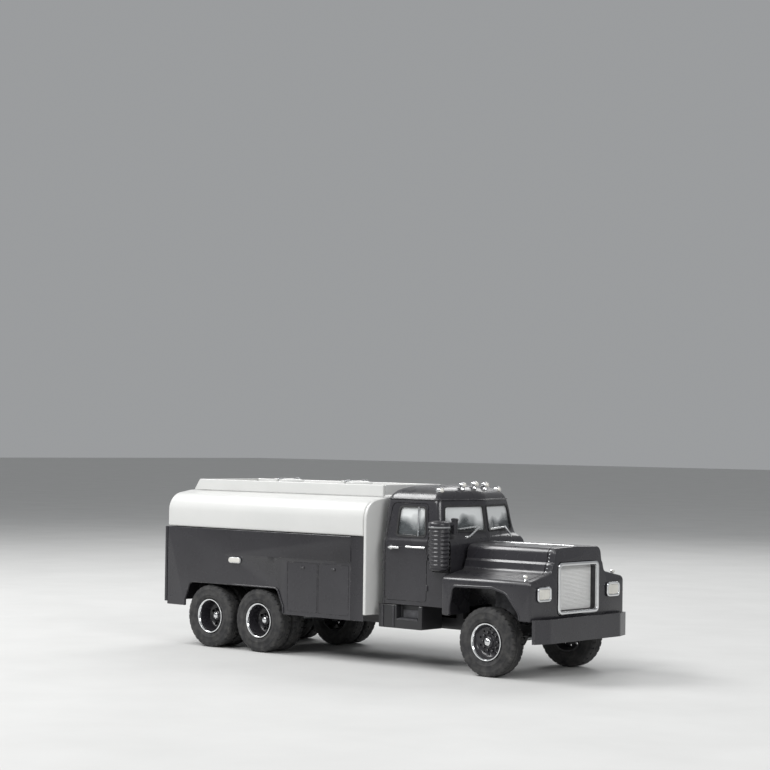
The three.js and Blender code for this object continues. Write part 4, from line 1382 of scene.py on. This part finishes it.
def make_lid(which):
    """A pressed lid with a rolled rim, a hinge arm over the pin and a handle opposite."""
    x = manway_x(which)
    under = node_box(f"manway_lid_{which}")[0].z
    r = LID_RADIUS
    pressing = [
        (0, 0.1), (r - 0.5, 0.1), (r - 0.15, 0), (r, 0.25), (r, 0.75), (r - 0.3, 1.0), (r - 1.3, 1.0),
        (r - 1.8, 1.35), (r - 3.4, 1.55), (0, 1.8),
    ]

    def lid(bm):
        add_turned(bm, pressing, "z", (x, 0, under), 64)

    piece(f"manway_lid_{which}_pressing", solid(lid), WHITE, f"{which}_lid",
          [f"manway_lid_{which}"], smooth=38)

    def fittings(bm):
        add_box(bm, x - LID_HINGE, x - 3.2, -1.5, 1.5, under + 0.95, under + 1.7)
        knuckle = [(0, -1.9), (0.8, -1.9), (0.8, 1.9), (0, 1.9)]
        add_turned(bm, knuckle, "y", (x - LID_HINGE, 0, under + 0.75), 24)
        grip = [(3.0, -1.7, 1.2), (3.6, -1.6, 1.72), (3.8, 0, 1.78), (3.6, 1.6, 1.72), (3.0, 1.7, 1.2)]
        add_tube(bm, [(x + ahead, y, under + up) for ahead, y, up in grip], 0.3, 10)

    piece(f"manway_lid_{which}_fittings", solid(fittings), STEEL, f"{which}_lid", edge=0.12)


def make_bulkhead():
    low, high = node_box("front_bulkhead")
    outline = tank_section(0, low.z)
    wall = solid(lambda bm: add_prism(bm, outline, "x", low.x, high.x))
    piece("tank_front_wall", wall, WHITE, "truck", ["front_bulkhead"], edge=0.5, segments=4)

    def ribs(bm):
        for y in (-12, 12):
            add_prism(bm, rectangle(y - 1.1, y + 1.1, 30, 72, 1.05), "x", high.x - 0.05, high.x + 0.45)

    piece("bulkhead_ribs", solid(ribs), WHITE, "truck", edge=0.3)


def make_skirt(side_name, side):
    """A side panel: its upper band overhangs a stepped-back locker side and front strip."""
    low, high = node_box(f"side_skirt_{side_name}")
    inner, outer = sorted((abs(low.y), abs(high.y)))
    step = SKIRT_STEP

    def slab(bm, x0, x1, y0, y1, z0, z1):
        add_box(bm, x0, x1, *span(side, y0, y1), z0, z1)

    panel = make_object("skirt", solid(lambda bm: slab(bm, low.x, high.x, inner, outer, low.z, high.z)))
    round_edges(panel, 0.35)
    bake_modifiers(panel)
    face = outer - step["depth"]

    def wedge(bm):
        """The step starts from nothing at its back end and deepens forward."""
        back, front = step["back"], step["front"] + 0.01
        clear = side * (outer + 2)
        plan = [(back, side * outer), (back + 34, side * face), (front, side * face)]
        plan += [(front, clear), (back, clear)]
        add_prism(bm, plan, "z", low.z - 2, step["z"])

    boolean(panel, cutter_of(wedge))
    boolean(panel, cutter_of(lambda bm: slab(bm, step["front"], high.x + 2, face - 0.3, outer + 2,
                                             low.z - 2, high.z + 2)))
    boolean(panel, cutter_of(lambda bm: add_prism(bm, fillet(REAR_ARCH), "y", -40, 40)))
    for x0, x1 in ((-31.5, -11.8), (-11.2, 8.4)):
        outline = rectangle(x0, x1, low.z + 1.8, 45.4, 1.0)
        inside = rectangle(x0 + 0.2, x1 - 0.2, low.z + 2.0, 45.2, 0.8)
        band = span(side, face - 0.3, 40)
        boolean(panel, cutter_of(lambda bm: add_frame(bm, outline, inside, "y", *band)))
    piece(f"skirt_panel_{side_name}", panel, CHARCOAL, "truck",
          [f"side_skirt_{side_name}"], smooth=34)

    def arch_lip(bm):
        add_tube(bm, arch_path(REAR_ARCH, side * (outer - 0.45), low.z + 0.5), 0.4, 10)

    piece(f"rear_arch_lip_{side_name}", solid(arch_lip), CHARCOAL, "truck", smooth=60)

    def latches(bm):
        for x in (-21.6, -1.4):
            y0, y1 = span(side, face - 0.1, face + 0.35)
            add_prism(bm, rectangle(x - 1.4, x + 1.4, 42.2, 43.6, 0.6), "y", y0, y1)
            y0, y1 = span(side, face + 0.3, face + 0.6)
            add_box(bm, x - 0.9, x + 0.9, y0, y1, 42.6, 43.1)

    piece(f"locker_latches_{side_name}", solid(latches), CHARCOAL, "truck", edge=0.1)
    make_side_marker(side_name, side)


def make_side_marker(side_name, side):
    low, high = node_box(f"side_marker_{side_name}")
    z = (low.z + high.z) / 2
    height = (high.z - low.z) / 2
    inner, outer = sorted((abs(low.y), abs(high.y)))

    def oval(grow):
        tall = height + grow
        return rectangle(low.x - grow, high.x + grow, z - tall, z + tall, tall - 0.02, 10)

    def base(bm):
        add_prism(bm, oval(0), "y", *span(side, inner - 0.4, inner + 0.25))

    piece(f"marker_base_{side_name}", solid(base), SATIN_CHROME, "truck", edge=0.1)

    def lens(bm):
        add_prism(bm, oval(-0.35), "y", *span(side, inner + 0.2, outer))

    piece(f"marker_lens_{side_name}", solid(lens), PALE_LENS, "truck",
          [f"side_marker_{side_name}"], edge=0.3)


def make_tail():
    """The back of the truck: a panel with a two-door cabinet, and a red lamp on each side."""
    low = node_box("rear_panel")[0]
    dress("rear_panel", CHARCOAL, 0.35)

    def seams(bm):
        add_box(bm, low.x - 0.05, low.x + 0.3, -0.2, 0.2, 23, 50.4)

    piece("cabinet_seam", solid(seams), GASKET, "truck")

    def hinges(bm):
        for side in SIGNS:
            for z in (27, 36.6, 46.2):
                add_turned(bm, [(0, z - 1.4), (0.5, z - 1.4), (0.5, z + 1.4), (0, z + 1.4)], "z",
                           (low.x + 0.15, side * 32.2, 0), 16)

    piece("cabinet_hinges", solid(hinges), CHARCOAL, "truck", edge=0.12)

    def handle(bm):
        add_tube(bm, [(low.x + 0.2, 1.6, 34.4), (low.x - 0.35, 1.6, 34.9), (low.x - 0.4, 1.6, 36.6),
                      (low.x - 0.35, 1.6, 38.3), (low.x + 0.2, 1.6, 38.8)], 0.34, 10)

    piece("cabinet_handle", solid(handle), CHROME, "truck", smooth=60)
    for side_name, side in SIDES:
        lamp_low, lamp_high = node_box(f"tail_lamp_{side_name}")
        centre = (0, (lamp_low.y + lamp_high.y) / 2, (lamp_low.z + lamp_high.z) / 2)
        radius = (lamp_high.z - lamp_low.z) / 2
        x = lamp_low.x
        ring = [(0, 1.6), (0, 0.5), (0.2, 0.25), (0.45, 0.25), (0.5, 0.6), (0.5, 1.6)]

        def bezel(bm):
            add_turned(bm, [(radius - dip, x + up) for dip, up in ring], "x", centre, 40, closed=True)

        def lens(bm):
            add_turned(bm, [(0, x + 1.4), (radius - 0.55, x + 1.4), (radius - 0.55, x + 0.45),
                            (radius - 1.0, x + 0.15), (0, x)], "x", centre, 40)

        piece(f"tail_bezel_{side_name}", solid(bezel), CHROME, "truck", smooth=40)
        piece(f"tail_lens_{side_name}", solid(lens), RED_LENS, "truck",
              [f"tail_lamp_{side_name}"], smooth=40)


def make_tank():
    make_tank_top()
    make_bulkhead()
    for side_name, side in SIDES:
        make_skirt(side_name, side)
    for node in ("coaming_left", "coaming_right", "coaming_front", "coaming_rear"):
        dress(node, WHITE, 0.35)
    dress("body_floor", BLACK, 0.2)
    make_tail()


# ------------------------------------------------------------------ floor, light and camera


def make_floor():
    """A large pale sweep the truck stands on."""
    s = Shader("studio_floor")
    tone = s.mix(s.spread(s.noise(60, 3), 0.3, 0.7), rgb(0.60, 0.60, 0.59), rgb(0.64, 0.64, 0.63))
    s.finish(tone, s.spread(s.noise(20, 3), 0.3, 0.7, 0.62, 0.75))

    def sheet(bm):
        add_box(bm, -6000, 6000, -6000, 6000, -4, 0)

    floor = make_object("studio_floor", solid(sheet))
    floor.data.transform(Matrix.Scale(MM, 4))
    floor.data.materials.append(s.material)


def area_light(name, place, target, size, power, color=(1, 1, 1)):
    data = bpy.data.lights.new(name, "AREA")
    data.shape = "RECTANGLE"
    data.size, data.size_y = size
    data.energy = power
    data.color = color
    lamp = bpy.data.objects.new(name, data)
    bpy.context.scene.collection.objects.link(lamp)
    lamp.location = place
    aim = Vector(target) - Vector(place)
    lamp.rotation_euler = aim.to_track_quat("-Z", "Y").to_euler()


def make_lights():
    """A big soft key above the truck's right side, a weak fill ahead of it and a rim light behind."""
    middle = (0, 0, 0.04)
    area_light("key", (-0.05, -0.80, 0.80), middle, (0.6, 0.4), 5.0)
    area_light("edges", (-0.62, -0.22, 0.78), middle, (0.55, 0.35), 6.5)
    area_light("front", (0.95, -0.30, 0.55), middle, (0.5, 0.3), 3.4)
    area_light("rim", (-0.3, 0.8, 0.7), middle, (0.6, 0.4), 3.0)
    world = bpy.data.worlds.new("studio")
    world.use_nodes = True
    background = world.node_tree.nodes["Background"]
    background.inputs["Color"].default_value = rgb(0.86, 0.88, 0.90)
    background.inputs["Strength"].default_value = 0.38
    bpy.context.scene.world = world


# place in metres, angles in degrees, lens in millimetres
CAMERA = {"place": (0.6513, -0.7500, 0.1063), "azimuth": 41.026, "pitch": 1.452, "roll": 0.76, "lens": 95.24}


def make_camera():
    bpy.context.scene.view_settings.view_transform = "Standard"
    data = bpy.data.cameras.new("camera")
    data.lens = CAMERA["lens"]
    data.sensor_width = 36
    data.clip_start = 0.01
    data.clip_end = 50
    camera = bpy.data.objects.new("camera", data)
    bpy.context.scene.collection.objects.link(camera)
    turn = math.radians(CAMERA["azimuth"])
    pitch = math.radians(CAMERA["pitch"])
    ahead = Vector((-math.sin(turn) * math.cos(pitch), math.cos(turn) * math.cos(pitch), math.sin(pitch)))
    level = Vector((math.cos(turn), math.sin(turn), 0))
    upright = level.cross(ahead)
    roll = math.radians(CAMERA["roll"])
    right = level * math.cos(roll) + upright * math.sin(roll)
    up = upright * math.cos(roll) - level * math.sin(roll)
    frame_axes = Matrix((right, up, -ahead)).transposed().to_4x4()
    camera.matrix_world = Matrix.Translation(CAMERA["place"]) @ frame_axes
    bpy.context.scene.camera = camera


make_wheels()
make_cab()
make_hood()
make_bumper()
make_chassis()
make_tank()
make_floor()
make_lights()
make_camera()
